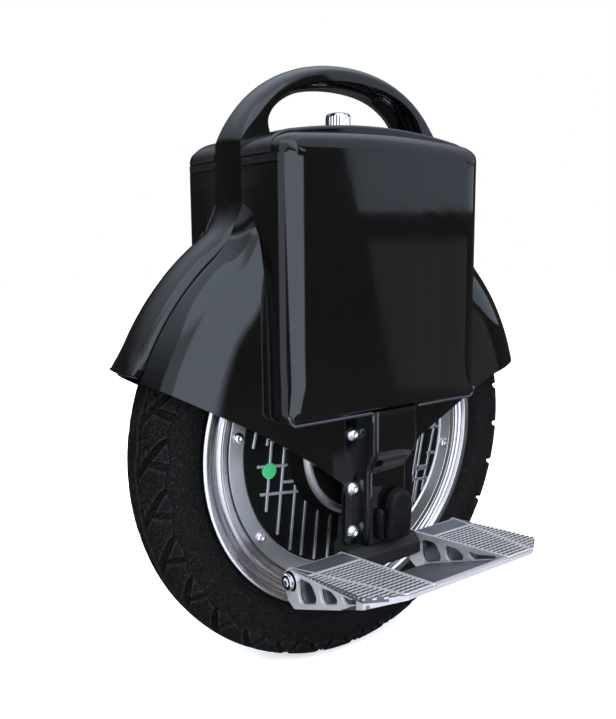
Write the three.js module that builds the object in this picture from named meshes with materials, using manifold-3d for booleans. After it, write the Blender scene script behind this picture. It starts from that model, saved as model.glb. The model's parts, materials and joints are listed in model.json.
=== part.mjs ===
// Electric self-balancing unicycle: one hub-motor wheel under a mudguard spine with a carry
// handle, a battery pod on each side and a folding footrest on each side.
// Millimetres. +X is forward, +Y is left, +Z is up. The origin is under the axle, where the
// tyre touches the ground.
import * as THREE from 'three';
import { mergeVertices } from 'three/addons/utils/BufferGeometryUtils.js';
import Module from 'manifold-3d';

const wasm = await Module();
wasm.setup();

// ---------------------------------------------------------------- driving dimensions
const GAP = 0.3; // clearance between neighbouring pieces
const WHEEL_SEGMENTS = 40;
const TYRE_RADIUS = 177;
const TYRE_HALF_WIDTH = 27;
const BEAD_RADIUS = 128.5;
const RIM_LIP_RADIUS = 133;
const COVER_RADIUS = 111.6; // flange of the motor's side covers
const COVER_FACE_Y = 18;
const HUB_RADIUS = 53; // raised hub in the middle of each cover
const HUB_FACE_Y = 35;
const COVER_SCREW_CIRCLE = 105;
const COVER_SCREWS = 8;
const COVER_SCREW_PHASE = 10; // degrees
const AXLE_RADIUS = 8;
const AXLE_HALF_LENGTH = 58;
const BEARING_RADIUS = 17.8;
const MAGNET_INNER_RADIUS = 99;
const STATOR_RADIUS = 97.8;
const RIB_HALF_WIDTH = 1.3; // ribs in the recess of each motor cover
const VALVE_LENGTH = 20;
const VALVE_Y = -27;
const VALVE_Z = 119;

const CROWN_RADIUS = 197.5; // outside of the mudguard's spine
const CROWN_INNER_RADIUS = 187;
const SPINE_HALF_WIDTH = 18;
const NECK_X = 100.2; // front and back faces of the neck under the handle
const DECK_Z = 228; // deck under the handle, above the axle
const DECK_THICKNESS = 6;
const SOCKET_X = -2; // charging socket on the deck
const BUTTON_X = -50; // power button on the deck
const HANDLE_TOP_Z = 286;
const GRIP_Z = 269; // underside of the grip
const GRIP_HALF_LENGTH = 71;
const FRONT_TIP_DEG = 21.1; // ends of the mudguard, up from the axle's level
const REAR_TIP_DEG = 17.5;
const SHELL_WALL = 3;
const SHELL_FLAT_Y = 49; // flat lower part of each side shell

const POD_OUTER_Y = 68;
const POD_FRONT_X = 96.5;
const POD_REAR_X = -92.5;
const POD_BOTTOM_Z = 32.5;
const POD_TOP_Z = 231;
const LID_TOP_Z = 237;
const POD_SHOULDER_Z = 219;
const POD_WALL = 2.5;
const POD_FILLET = 8;
const POD_CORNER = 14;
const POD_NOSE_LENGTH = 22; // upright corners, seen from above
const POD_NOSE_WIDTH = 13;
const LID_FRONT_X = POD_FRONT_X - 12;
const LID_REAR_X = POD_REAR_X + 12;
const LID_OUTER_Y = 60;
const LID_EDGE_Z = 229.5;
const LID_DEPTH = 8;

const BATTERY_HALF_LENGTH = 68;
const BATTERY_INNER_Y = 49.9;
const BATTERY_OUTER_Y = 64.5;
const BATTERY_TOP_Z = 150;
const BOARD_HALF_LENGTH = 70;
const BOARD_Y = 22; // the circuit board stands on edge inside the left pod
const BOARD_THICKNESS = 2;
const BOARD_BOTTOM_Z = 194;
const BOARD_TOP_Z = 219;
const HEAT_SINK_OUTER_Y = 40;

const LEG_FRONT_X = 30;
const LEG_REAR_X = -38;
const LEG_FOOT_REAR_X = -34.3; // narrower, to pass between a folding footrest's cheeks
const LEG_FOOT_Z = -71;
const BRACKET_INNER_Y = 40.2;
const BRACKET_OUTER_Y = 44.7;
const LEG_BOLT_X = 23;
const LEG_BOLT_ZS = [15, -27, -61];
const LEG_BOLT_HOLE_RADIUS = 3.4;
const CHANNEL_FRONT_X = 17;
const CHANNEL_REAR_X = -22;
const CHANNEL_OUTER_Y = 60;
const CHANNEL_WALL = 2.5;
const TONGUE_Z = 2; // the channel stands flush with the pod above this height
const BUMPER_OUTER_Y = 69.5;

const PEDAL_HALF_LENGTH = 84;
const PEDAL_GAP_HALF = 35; // each footrest straddles the leg
const PEDAL_OUTER_Y = 150;
const CHEEK_THICKNESS = 3;
const HINGE_Y = 54;
const HINGE_Z = -82;
const HINGE_BARREL_RADIUS = 8.5;
const PIN_RADIUS = 4;

// ---------------------------------------------------------------- materials
function finish(color, roughness, metalness) {
  return new THREE.MeshStandardMaterial({ color, roughness, metalness });
}
const glossBlack = () => finish(0x0b0c0f, 0.12, 0);
const mattBlack = () => finish(0x17181a, 0.7, 0);
const rubberBlack = () => finish(0x1d1e20, 0.85, 0);
const castAluminium = () => finish(0xb9bbbd, 0.42, 1);
const polishedAluminium = () => finish(0xd2d4d6, 0.15, 1);
const chrome = () => finish(0xdfe2e5, 0.07, 1);
const steel = () => finish(0x8e9195, 0.35, 1);
const copper = () => finish(0x9c5a33, 0.4, 1);
const boardGreen = () => finish(0x1d5a35, 0.5, 0);
const wrapBlue = () => finish(0x20406e, 0.45, 0);

// ---------------------------------------------------------------- solid helpers
function toSolid(geometry) {
  const bare = geometry.clone();
  bare.deleteAttribute('normal');
  bare.deleteAttribute('uv');
  const merged = mergeVertices(bare, 1e-4);
  const index = merged.index.array;
  const triangles = [];
  for (let i = 0; i < index.length; i += 3) {
    const [a, b, c] = [index[i], index[i + 1], index[i + 2]];
    if (a !== b && b !== c && c !== a) triangles.push(a, b, c);
  }
  return new wasm.Manifold(new wasm.Mesh({
    numProp: 3,
    vertProperties: Float32Array.from(merged.attributes.position.array),
    triVerts: Uint32Array.from(triangles),
  }));
}

function toGeometry(solid) {
  const mesh = solid.getMesh();
  const geometry = new THREE.BufferGeometry();
  geometry.setAttribute('position', new THREE.BufferAttribute(mesh.vertProperties, 3));
  geometry.setIndex(new THREE.BufferAttribute(mesh.triVerts, 1));
  geometry.computeVertexNormals();
  return geometry;
}

function moved(geometry, x, y, z) {
  return geometry.clone().translate(x, y, z);
}

// A closed ring or disc about the axle. The profile lists [radius, y] round the section;
// radii are measured to the middle of the facets.
function turned(profile, segments = WHEEL_SEGMENTS) {
  const flat = 1 / Math.cos(Math.PI / segments);
  const points = profile.map(([radius, y]) => new THREE.Vector2(radius * flat, y));
  points.push(points[0].clone());
  if (THREE.ShapeUtils.area(points) < 0) points.reverse();
  return toSolid(new THREE.LatheGeometry(points, segments, Math.PI / segments));
}

function shapeOf(points) {
  return new THREE.Shape(points.map(([u, v]) => new THREE.Vector2(u, v)));
}

// A side-view shape (x, z) given a thickness from y = low to y = high.
function sidePlate(shape, low, high, options = {}) {
  const bevel = options.bevel ?? 0;
  const geometry = new THREE.ExtrudeGeometry(shape, {
    depth: high - low - 2 * bevel,
    curveSegments: options.curveSegments ?? 10,
    bevelEnabled: bevel > 0,
    bevelThickness: bevel,
    bevelSize: bevel,
    bevelOffset: -bevel,
    bevelSegments: options.bevelSegments ?? 2,
  });
  geometry.rotateX(Math.PI / 2);
  return toSolid(geometry.translate(0, high - bevel, 0));
}

// A front-view shape (y, z) given a length from x = low to x = high.
function frontPlate(shape, low, high) {
  const geometry = new THREE.ExtrudeGeometry(shape, {
    depth: high - low,
    curveSegments: 8,
    bevelEnabled: false,
  });
  geometry.rotateX(Math.PI / 2).rotateZ(Math.PI / 2);
  return toSolid(geometry.translate(low, 0, 0));
}

function box(x0, x1, y0, y1, z0, z1) {
  const geometry = new THREE.BoxGeometry(x1 - x0, y1 - y0, z1 - z0);
  return toSolid(geometry.translate((x0 + x1) / 2, (y0 + y1) / 2, (z0 + z1) / 2));
}

function cylinderX(radius, x0, x1, y, z, segments = 16) {
  const geometry = new THREE.CylinderGeometry(radius, radius, x1 - x0, segments);
  return toSolid(geometry.rotateZ(Math.PI / 2).translate((x0 + x1) / 2, y, z));
}

function cylinderY(radius, y0, y1, x, z, segments = 16) {
  const geometry = new THREE.CylinderGeometry(radius, radius, y1 - y0, segments);
  return toSolid(moved(geometry, x, (y0 + y1) / 2, z));
}

// A turned solid about a vertical axis at (x, y); the profile lists [radius, z] from the axis
// at the bottom, round the outside and back to the axis at the top.
function turnedUpright(profile, x, y, segments = 20) {
  const points = profile.map(([radius, z]) => new THREE.Vector2(radius, z));
  const geometry = new THREE.LatheGeometry(points, segments);
  return toSolid(geometry.rotateX(Math.PI / 2).translate(x, y, 0));
}

// The same solid on the other side of the centre plane.
function mirrored(solid) {
  const geometry = toGeometry(solid).scale(1, -1, 1);
  const index = geometry.index.array;
  for (let i = 0; i < index.length; i += 3) {
    [index[i], index[i + 1]] = [index[i + 1], index[i]];
  }
  return toSolid(geometry);
}

// ---------------------------------------------------------------- assembly
const unicycle = new THREE.Group();
unicycle.position.z = TYRE_RADIUS;

function place(name, solid, material) {
  const mesh = new THREE.Mesh(toGeometry(solid), material);
  mesh.name = name;
  unicycle.add(mesh);
}

// The left piece is given; the right one is its mirror image.
function placePair(name, solid, material) {
  place(`left_${name}`, solid, material());
  place(`right_${name}`, mirrored(solid), material());
}

// ---------------------------------------------------------------- wheel
function tyre() {
  const half = [
    [TYRE_RADIUS, 7], [173, 16.5], [163.5, 24.5], [151, TYRE_HALF_WIDTH], [140, 23.5],
    [133.6, 17.4], [BEAD_RADIUS, 15.2], [BEAD_RADIUS, 10], [151, 21], [167, 14],
  ];
  return turned(symmetric(half));
}

// Adds the mirror image of a half profile, so that the closed loop is symmetric about y = 0.
function symmetric(half) {
  return [...half, ...half.map(([radius, y]) => [radius, -y]).reverse()];
}

function rim() {
  const half = [
    [124, 8], [128, 16], [RIM_LIP_RADIUS, 17.7], [RIM_LIP_RADIUS, 20.5], [126, 21],
    [124, 15.5], [COVER_RADIUS + GAP, 16.5],
  ];
  return turned(symmetric(half));
}

function motorCover() {
  const disc = turned([
    [BEARING_RADIUS + 0.6, 13.4], [COVER_RADIUS, 13.4], [COVER_RADIUS, COVER_FACE_Y + 0.8],
    [99, COVER_FACE_Y + 0.8], [98, COVER_FACE_Y - 1], [HUB_RADIUS + 7, COVER_FACE_Y - 1],
    [HUB_RADIUS, HUB_FACE_Y - 1], [HUB_RADIUS - 5, HUB_FACE_Y], [AXLE_RADIUS + 4, HUB_FACE_Y - 1],
    [AXLE_RADIUS + 4, 24.4], [BEARING_RADIUS + 0.6, 24.4],
  ]);
  const ribHeight = COVER_FACE_Y + 0.6;
  const bars = [];
  for (const x of [-78, -62, 62, 78]) {
    const reach = Math.sqrt(98.5 ** 2 - x ** 2) - 3;
    bars.push(box(x - RIB_HALF_WIDTH, x + RIB_HALF_WIDTH, 15, ribHeight, -reach, reach));
  }
  for (const z of [-18, 18]) {
    bars.push(box(-90, -60, 15, ribHeight, z - RIB_HALF_WIDTH, z + RIB_HALF_WIDTH));
    bars.push(box(60, 90, 15, ribHeight, z - RIB_HALF_WIDTH, z + RIB_HALF_WIDTH));
  }
  let cover = disc;
  for (const bar of bars) cover = cover.add(bar);
  for (const [x, z] of coverScrewPlaces()) {
    cover = cover.subtract(cylinderY(2.6, 12, 20, x, z, 8));
  }
  return cover;
}

function coverScrewPlaces() {
  const places = [];
  for (let i = 0; i < COVER_SCREWS; i += 1) {
    const angle = THREE.MathUtils.degToRad(COVER_SCREW_PHASE + (i * 360) / COVER_SCREWS);
    places.push([COVER_SCREW_CIRCLE * Math.cos(angle), COVER_SCREW_CIRCLE * Math.sin(angle)]);
  }
  return places;
}

function coverScrew(x, z) {
  const head = cylinderY(4, COVER_FACE_Y + 1.1, COVER_FACE_Y + 3.4, x, z, 10);
  return head.add(cylinderY(2.2, 13.6, COVER_FACE_Y + 2, x, z, 10));
}

function valve() {
  const stem = new THREE.CylinderGeometry(3.2, 4.2, VALVE_LENGTH, 10);
  return toSolid(stem.translate(0, VALVE_Y, VALVE_Z));
}

place('tyre', tyre(), rubberBlack());
place('rim', rim(), polishedAluminium());
placePair('motor_cover', motorCover(), castAluminium);
place('magnet_ring', turned([
  [MAGNET_INNER_RADIUS, -13], [COVER_RADIUS, -13], [COVER_RADIUS, 13], [MAGNET_INNER_RADIUS, 13],
]), steel());
placePair('bearing', turned([
  [AXLE_RADIUS + GAP, 15], [BEARING_RADIUS, 15], [BEARING_RADIUS, 24], [AXLE_RADIUS + GAP, 24],
], 24), steel);
place('valve', valve(), mattBlack());
coverScrewPlaces().forEach(([x, z], i) => {
  placePair(`cover_screw_${i + 1}`, coverScrew(x, z), chrome);
});

// ---------------------------------------------------------------- axle and motor core
place('axle', turned([
  [0, -AXLE_HALF_LENGTH], [AXLE_RADIUS, -AXLE_HALF_LENGTH],
  [AXLE_RADIUS, AXLE_HALF_LENGTH], [0, AXLE_HALF_LENGTH],
]), steel());
place('stator', turned([
  [AXLE_RADIUS + GAP, -10], [AXLE_RADIUS + GAP, 10], [60, 12],
  [STATOR_RADIUS, 12], [STATOR_RADIUS, -12], [60, -12],
], 24), copper());

function axleNut() {
  const nut = cylinderY(14, BRACKET_OUTER_Y + 5.2, AXLE_HALF_LENGTH - 1.5, 0, 0, 6);
  return nut.subtract(cylinderY(AXLE_RADIUS + 0.6, 40, 70, 0, 0, 24));
}
placePair('axle_nut', axleNut(), steel);

// ---------------------------------------------------------------- spine with neck and handle
function onCircle(radius, degrees) {
  const angle = THREE.MathUtils.degToRad(degrees);
  return [radius * Math.cos(angle), radius * Math.sin(angle)];
}

function spineShape() {
  const radians = THREE.MathUtils.degToRad;
  const blankRadius = CROWN_INNER_RADIUS - 22; // trimmed to the wheel well afterwards
  const neckFoot = 54; // degrees up the crown where the neck's curve begins
  const shape = new THREE.Shape();
  shape.moveTo(...onCircle(blankRadius, FRONT_TIP_DEG));
  shape.lineTo(...onCircle(CROWN_RADIUS, FRONT_TIP_DEG));
  shape.absarc(0, 0, CROWN_RADIUS, radians(FRONT_TIP_DEG), radians(neckFoot), false);
  shape.quadraticCurveTo(NECK_X + 0.5, 171, NECK_X, 190);
  shape.lineTo(NECK_X, 225);
  shape.bezierCurveTo(88.5, 255.5, 57, HANDLE_TOP_Z, 0, HANDLE_TOP_Z);
  shape.bezierCurveTo(-57, HANDLE_TOP_Z, -88.5, 255.5, -NECK_X, 225);
  shape.lineTo(-NECK_X, 190);
  shape.quadraticCurveTo(-NECK_X - 0.5, 171, ...onCircle(CROWN_RADIUS, 180 - neckFoot));
  shape.absarc(0, 0, CROWN_RADIUS, radians(180 - neckFoot), radians(180 - REAR_TIP_DEG), false);
  shape.lineTo(...onCircle(blankRadius, 180 - REAR_TIP_DEG));
  shape.absarc(0, 0, blankRadius, radians(180 - REAR_TIP_DEG), radians(FRONT_TIP_DEG), true);
  return shape;
}

function gripHole() {
  const hole = new THREE.Shape();
  hole.moveTo(-GRIP_HALF_LENGTH, DECK_Z);
  hole.lineTo(GRIP_HALF_LENGTH, DECK_Z);
  hole.bezierCurveTo(GRIP_HALF_LENGTH, 252, 45, GRIP_Z, 0, GRIP_Z);
  hole.bezierCurveTo(-45, GRIP_Z, -GRIP_HALF_LENGTH, 252, -GRIP_HALF_LENGTH, DECK_Z);
  return hole;
}

function bayHole() {
  const wall = 14;
  const edge = NECK_X - wall;
  const floorRadius = CROWN_INNER_RADIUS + 4;
  const start = Math.acos(edge / floorRadius);
  const hole = new THREE.Shape();
  hole.moveTo(edge, DECK_Z - DECK_THICKNESS);
  hole.lineTo(-edge, DECK_Z - DECK_THICKNESS);
  hole.lineTo(-edge, floorRadius * Math.sin(start));
  hole.absarc(0, 0, floorRadius, Math.PI - start, start, true);
  return hole;
}

function spine() {
  const body = sidePlate(spineShape(), -SPINE_HALF_WIDTH, SPINE_HALF_WIDTH, {
    bevel: 6, bevelSegments: 2, curveSegments: 9,
  });
  const grip = sidePlate(gripHole(), -30, 30);
  const bay = sidePlate(bayHole(), -30, 30);
  const wheelWell = turned([[0, -30], [CROWN_INNER_RADIUS, -30], [CROWN_INNER_RADIUS, 30], [0, 30]]);
  return body.subtract(grip).subtract(bay).subtract(wheelWell)
    .subtract(deckHole(SOCKET_X, 8.4))
    .subtract(deckHole(BUTTON_X, 6.5));
}

function deckHole(x, radius) {
  const drill = new THREE.CylinderGeometry(radius, radius, 30, 20);
  return toSolid(drill.rotateX(Math.PI / 2).translate(x, 0, DECK_Z));
}
place('spine', spine(), glossBlack());

// ---------------------------------------------------------------- side shells
const SHELL_OUTER = [
  [190, 18.4], [188, 20], [183, 29], [172, 39.5], [150, 46], [105, 48.5], [0, SHELL_FLAT_Y],
];

// The solid of everything inside a side shell's outer face, grown by a clearance.
function archCore(clearance) {
  const outline = SHELL_OUTER.map(([radius, y]) => [
    radius > 0 ? radius + clearance : 0, y + clearance,
  ]);
  return turned([...outline, [0, 0], [190 + clearance, 0]]);
}

// Side view of the shell: its lower edge runs down from both tips to a tongue over the leg.
function sideRegion() {
  return shapeOf([
    [184, 71], [102, 26], [LEG_FRONT_X, -23], [LEG_FRONT_X, LEG_FOOT_Z],
    [LEG_FOOT_REAR_X, LEG_FOOT_Z], [LEG_FOOT_REAR_X, -57], [LEG_REAR_X, -44], [LEG_REAR_X, -1],
    [-110, 34], [-186, 59],
    [-230, 74], [-230, 240], [230, 240], [230, 96],
  ]);
}

function sideShell() {
  const inner = [
    [0, SHELL_FLAT_Y - SHELL_WALL], [105, 45.3], [149, 43], [169.5, 37], [180, 27], [186, 18.4],
  ];
  const shell = turned([...SHELL_OUTER, ...inner]);
  let solid = shell.intersect(sidePlate(sideRegion(), 0, 70));
  solid = solid.subtract(cylinderY(AXLE_RADIUS + 9, 40, 60, 0, 0, 20));
  for (const z of LEG_BOLT_ZS) {
    solid = solid.subtract(cylinderY(LEG_BOLT_HOLE_RADIUS, 40, 60, LEG_BOLT_X, z, 10));
  }
  return solid;
}
placePair('side_shell', sideShell(), glossBlack);

// ---------------------------------------------------------------- battery pods and lids
function podShape(inset) {
  const front = POD_FRONT_X - inset;
  const rear = POD_REAR_X + inset;
  const middle = (front + rear) / 2;
  const low = POD_BOTTOM_Z + inset;
  const shoulder = POD_SHOULDER_Z - inset;
  const top = POD_TOP_Z - inset;
  const corner = POD_CORNER - inset;
  const shape = new THREE.Shape();
  shape.moveTo(rear + corner, low);
  shape.lineTo(front - corner, low);
  shape.quadraticCurveTo(front, low, front, low + corner);
  shape.lineTo(front - 1.5, shoulder - 8);
  shape.quadraticCurveTo(front - 3, shoulder + 5, front - 20, shoulder + 8);
  shape.quadraticCurveTo(middle + 40, top, middle, top);
  shape.quadraticCurveTo(middle - 40, top, rear + 20, shoulder + 8);
  shape.quadraticCurveTo(rear + 3, shoulder + 5, rear + 1.5, shoulder - 8);
  shape.lineTo(rear, low + corner);
  shape.quadraticCurveTo(rear, low, rear + corner, low);
  return shape;
}

function lidShape() {
  const middle = (LID_FRONT_X + LID_REAR_X) / 2;
  const shape = new THREE.Shape();
  shape.moveTo(LID_REAR_X, LID_EDGE_Z - LID_DEPTH);
  shape.lineTo(LID_FRONT_X, LID_EDGE_Z - LID_DEPTH);
  shape.lineTo(LID_FRONT_X, LID_EDGE_Z);
  shape.quadraticCurveTo(middle, 2 * LID_TOP_Z - LID_EDGE_Z, LID_REAR_X, LID_EDGE_Z);
  return shape;
}

// The pod seen from above, with its broad upright corners, as an upright prism.
function podPlan(inset) {
  const front = POD_FRONT_X - inset;
  const rear = POD_REAR_X + inset;
  const outer = POD_OUTER_Y - inset;
  const length = POD_NOSE_LENGTH;
  const width = POD_NOSE_WIDTH;
  const shape = new THREE.Shape();
  shape.moveTo(rear, -20);
  shape.lineTo(front, -20);
  shape.lineTo(front, outer - width);
  shape.bezierCurveTo(front, outer - 0.45 * width, front - 0.55 * length, outer,
    front - length, outer);
  shape.lineTo(rear + length, outer);
  shape.bezierCurveTo(rear + 0.55 * length, outer, rear, outer - 0.45 * width,
    rear, outer - width);
  const geometry = new THREE.ExtrudeGeometry(shape, {
    depth: 280, curveSegments: 6, bevelEnabled: false,
  });
  return toSolid(geometry);
}

function podCover() {
  const inner = SPINE_HALF_WIDTH + 2 * GAP;
  const outer = sidePlate(podShape(0), inner - POD_FILLET, POD_OUTER_Y, {
    bevel: POD_FILLET, curveSegments: 4,
  }).intersect(podPlan(0));
  const hollow = sidePlate(podShape(POD_WALL), inner - 20, POD_OUTER_Y - POD_WALL, {
    bevel: POD_FILLET - POD_WALL, curveSegments: 4,
  }).intersect(podPlan(POD_WALL));
  let solid = outer.subtract(hollow);
  solid = solid.subtract(box(-120, 120, 0, inner, 0, 300));
  solid = solid.subtract(archCore(2 * GAP));
  return solid.subtract(box(LID_REAR_X - GAP, LID_FRONT_X + GAP, 0, LID_OUTER_Y + GAP, 210, 240));
}

function lid() {
  const inner = SPINE_HALF_WIDTH + 2 * GAP;
  const block = sidePlate(lidShape(), inner - 8, LID_OUTER_Y, { bevel: 3, bevelSegments: 1 });
  return block.subtract(box(-120, 120, 0, inner, 200, 260));
}

placePair('pod_cover', podCover(), glossBlack);
placePair('pod_lid', lid(), glossBlack);

// ---------------------------------------------------------------- inside the pods
placePair('battery_pack', box(
  -BATTERY_HALF_LENGTH, BATTERY_HALF_LENGTH, BATTERY_INNER_Y, BATTERY_OUTER_Y,
  POD_BOTTOM_Z + 9.5, BATTERY_TOP_Z,
), wrapBlue);
place('control_board', box(
  -BOARD_HALF_LENGTH, BOARD_HALF_LENGTH, BOARD_Y, BOARD_Y + BOARD_THICKNESS,
  BOARD_BOTTOM_Z, BOARD_TOP_Z,
), boardGreen());
place('heat_sink', box(
  10 - BOARD_HALF_LENGTH, BOARD_HALF_LENGTH - 10, BOARD_Y + BOARD_THICKNESS + 0.4, HEAT_SINK_OUTER_Y,
  BOARD_BOTTOM_Z + 2, BOARD_TOP_Z - 2,
), castAluminium());

// ---------------------------------------------------------------- deck fittings
place('charge_socket', turnedUpright([
  [0, 218], [8, 218], [8, DECK_Z + 0.3], [11, DECK_Z + 0.3], [11, DECK_Z + 6], [6.2, DECK_Z + 6],
  [6.2, DECK_Z + 14], [0, DECK_Z + 14],
], SOCKET_X, 0), chrome());
place('charge_cap', turnedUpright([
  [0, DECK_Z + 14.4], [6.6, DECK_Z + 14.4], [6.6, DECK_Z + 6.4], [9.8, DECK_Z + 6.4],
  [9.8, DECK_Z + 24.2], [9.2, DECK_Z + 25], [0, DECK_Z + 25],
], SOCKET_X, 0), chrome());
place('button_bezel', turnedUpright([
  [4.9, 216], [6.1, 216], [6.1, DECK_Z + 0.3], [8.5, DECK_Z + 0.3], [7.5, DECK_Z + 13],
  [4.9, DECK_Z + 13], [4.9, 216],
], BUTTON_X, 0), chrome());
place('power_button', turnedUpright([
  [0, 219], [4.5, 219], [4.5, DECK_Z + 15], [3.4, DECK_Z + 16.2], [0, DECK_Z + 16.6],
], BUTTON_X, 0), chrome());

// ---------------------------------------------------------------- legs
function legBracket() {
  const plate = sidePlate(shapeOf([
    [-34, -90], [34, -90], [34, -70], [27, -62], [27, 104], [-34, 104],
  ]), BRACKET_INNER_Y, BRACKET_OUTER_Y);
  const root = BRACKET_OUTER_Y - 2;
  const knuckle = frontPlate(shapeOf([
    [root, -90], [56, -91.5], [63, -86], [63, -78], [57, -71.6], [root, -71.6],
  ]), 1 - PEDAL_GAP_HALF, PEDAL_GAP_HALF - 1);
  let solid = plate.add(knuckle);
  solid = solid.subtract(cylinderX(PIN_RADIUS + GAP, -40, 40, HINGE_Y, HINGE_Z));
  solid = solid.subtract(cylinderY(AXLE_RADIUS + GAP, 30, 60, 0, 0, 24));
  for (const z of LEG_BOLT_ZS) {
    solid = solid.subtract(cylinderY(LEG_BOLT_HOLE_RADIUS, 30, 60, LEG_BOLT_X, z, 10));
  }
  return solid;
}

function channelProfile(inset) {
  return shapeOf([
    [40, LEG_FOOT_Z + inset], [CHANNEL_OUTER_Y - 0.5 - inset, LEG_FOOT_Z + inset],
    [CHANNEL_OUTER_Y + 0.5 - inset, -14], [POD_OUTER_Y - inset, TONGUE_Z + inset],
    [POD_OUTER_Y - inset, POD_BOTTOM_Z - 0.5 - inset], [40, POD_BOTTOM_Z - 0.5 - inset],
  ]);
}

function legChannel() {
  const outer = frontPlate(channelProfile(0), CHANNEL_REAR_X, CHANNEL_FRONT_X);
  const hollow = frontPlate(
    channelProfile(CHANNEL_WALL), CHANNEL_REAR_X + CHANNEL_WALL, CHANNEL_FRONT_X - CHANNEL_WALL,
  );
  return outer.subtract(hollow).subtract(box(-60, 60, 0, SHELL_FLAT_Y + GAP, -200, 60));
}

function legBumper() {
  const shape = new THREE.Shape();
  shape.absarc(-9, -40, 10.5, 0, Math.PI, false);
  shape.bezierCurveTo(-21, -50, -20, -62, -19, -67);
  shape.lineTo(4, -67);
  shape.bezierCurveTo(4, -58, 1.5, -50, 1.5, -40);
  return sidePlate(shape, CHANNEL_OUTER_Y + 0.8, BUMPER_OUTER_Y, { bevel: 2.5, curveSegments: 6 });
}

function legBolt(z) {
  const domeProfile = [[0, 0], [5.4, 0], [5.2, 1.6], [3.4, 3.4], [0, 4]];
  const points = domeProfile.map(([radius, y]) => new THREE.Vector2(radius, y));
  const head = new THREE.LatheGeometry(points, 12).translate(LEG_BOLT_X, SHELL_FLAT_Y + GAP, z);
  return toSolid(head).add(cylinderY(3, 38.4, 50, LEG_BOLT_X, z, 10));
}

placePair('leg_bracket', legBracket(), steel);
placePair('leg_channel', legChannel(), glossBlack);
placePair('leg_bumper', legBumper(), rubberBlack);
LEG_BOLT_ZS.forEach((z, i) => placePair(`leg_bolt_${i + 1}`, legBolt(z), chrome));

// ---------------------------------------------------------------- folding footrests
const cheekTop = (y) => -73 + (y - 50) * 0.112;
const cheekBottom = (y) => -103 + (y - 55) * 0.388;

function cheekShape() {
  return shapeOf([
    [HINGE_Y - 8, cheekTop(50) - 2], [HINGE_Y - 5, cheekTop(50)], [148, cheekTop(148)],
    [148, cheekBottom(148)], [57, cheekBottom(57)], [50, -98],
  ]);
}

// Two rounded windows and a long triangle lighten each cheek.
function cheekWindows() {
  const rail = 3.5;
  const rows = [[63, 84], [89, 107], [112, 138]];
  return rows.map(([a, b]) => shapeOf([
    [a, cheekTop(a) - rail - 1.5], [b, cheekTop(b) - rail - 1.5],
    [b, Math.min(cheekBottom(b) + rail + 3, cheekTop(b) - rail - 2.5)],
    [b - 3, Math.min(cheekBottom(b - 3) + rail, cheekTop(b - 3) - rail - 3.5)],
    [a + 3, cheekBottom(a + 3) + rail], [a, cheekBottom(a) + rail + 3],
  ]));
}

function pedal() {
  const parts = [];
  const edge = PEDAL_OUTER_Y;
  let cheek = frontPlate(cheekShape(), 0, CHEEK_THICKNESS);
  for (const window of cheekWindows()) {
    cheek = cheek.subtract(frontPlate(window, -1, CHEEK_THICKNESS + 1));
  }
  const starts = [
    -PEDAL_HALF_LENGTH, -PEDAL_GAP_HALF - CHEEK_THICKNESS,
    PEDAL_GAP_HALF, PEDAL_HALF_LENGTH - CHEEK_THICKNESS,
  ];
  for (const x of starts) parts.push(cheek.translate([x, 0, 0]));
  const pad = frontPlate(shapeOf([
    [52, cheekTop(52) - 4], [edge, cheekTop(edge) - 4], [edge, cheekTop(edge)], [52, cheekTop(52)],
  ]), PEDAL_GAP_HALF, PEDAL_HALF_LENGTH);
  parts.push(pad, pad.translate([-PEDAL_HALF_LENGTH - PEDAL_GAP_HALF, 0, 0]));
  const floorPlate = frontPlate(shapeOf([
    [68, cheekBottom(68)], [edge, cheekBottom(edge)],
    [edge, cheekBottom(edge) + 3], [68, cheekBottom(68) + 3],
  ]), -PEDAL_HALF_LENGTH, PEDAL_HALF_LENGTH);
  const rail = frontPlate(shapeOf([
    [144, cheekBottom(144)], [edge, cheekBottom(edge)],
    [edge, cheekTop(edge) - 1.5], [144, cheekTop(144) - 1.5],
  ]), -PEDAL_HALF_LENGTH, PEDAL_HALF_LENGTH);
  parts.push(floorPlate, rail);
  const barrelLength = PEDAL_HALF_LENGTH - PEDAL_GAP_HALF;
  for (const x0 of [-PEDAL_HALF_LENGTH, PEDAL_GAP_HALF]) {
    parts.push(cylinderX(HINGE_BARREL_RADIUS, x0, x0 + barrelLength, HINGE_Y, HINGE_Z));
  }
  let solid = parts[0];
  for (const part of parts.slice(1)) solid = solid.add(part);
  solid = solid.subtract(cylinderX(PIN_RADIUS + GAP, -90, 90, HINGE_Y, HINGE_Z));
  return solid.subtract(cornerCut());
}

// Takes the outer corners of the footrest off at a slant.
function cornerCut() {
  const cut = new THREE.ExtrudeGeometry(shapeOf([[86, 132], [58, 152], [86, 152]]), {
    depth: 80,
    bevelEnabled: false,
  });
  return toSolid(cut.translate(0, 0, -120));
}

function hingePin() {
  const rod = cylinderX(PIN_RADIUS, -PEDAL_HALF_LENGTH + 1, PEDAL_HALF_LENGTH + 1, HINGE_Y, HINGE_Z);
  const head = cylinderX(6, PEDAL_HALF_LENGTH + GAP, PEDAL_HALF_LENGTH + 4, HINGE_Y, HINGE_Z);
  const socket = cylinderX(2.9, PEDAL_HALF_LENGTH + 1.5, PEDAL_HALF_LENGTH + 6, HINGE_Y, HINGE_Z, 6);
  return rod.add(head).subtract(socket);
}

placePair('pedal', pedal(), castAluminium);
placePair('hinge_pin', hingePin(), chrome);

export default unicycle;
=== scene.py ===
"""Looks for the electric self-balancing unicycle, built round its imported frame.

Lengths below are millimetres about the wheel's centre, with x forward, y to the rider's left
and z up; mesh_piece() turns them into metres in the frame. Left-hand pieces are described, and
right-hand ones are their mirror images.
"""

import json
import math

import bmesh
import bpy
import numpy as np
from mathutils import Matrix, Vector
from mathutils.geometry import tessellate_polygon


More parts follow.
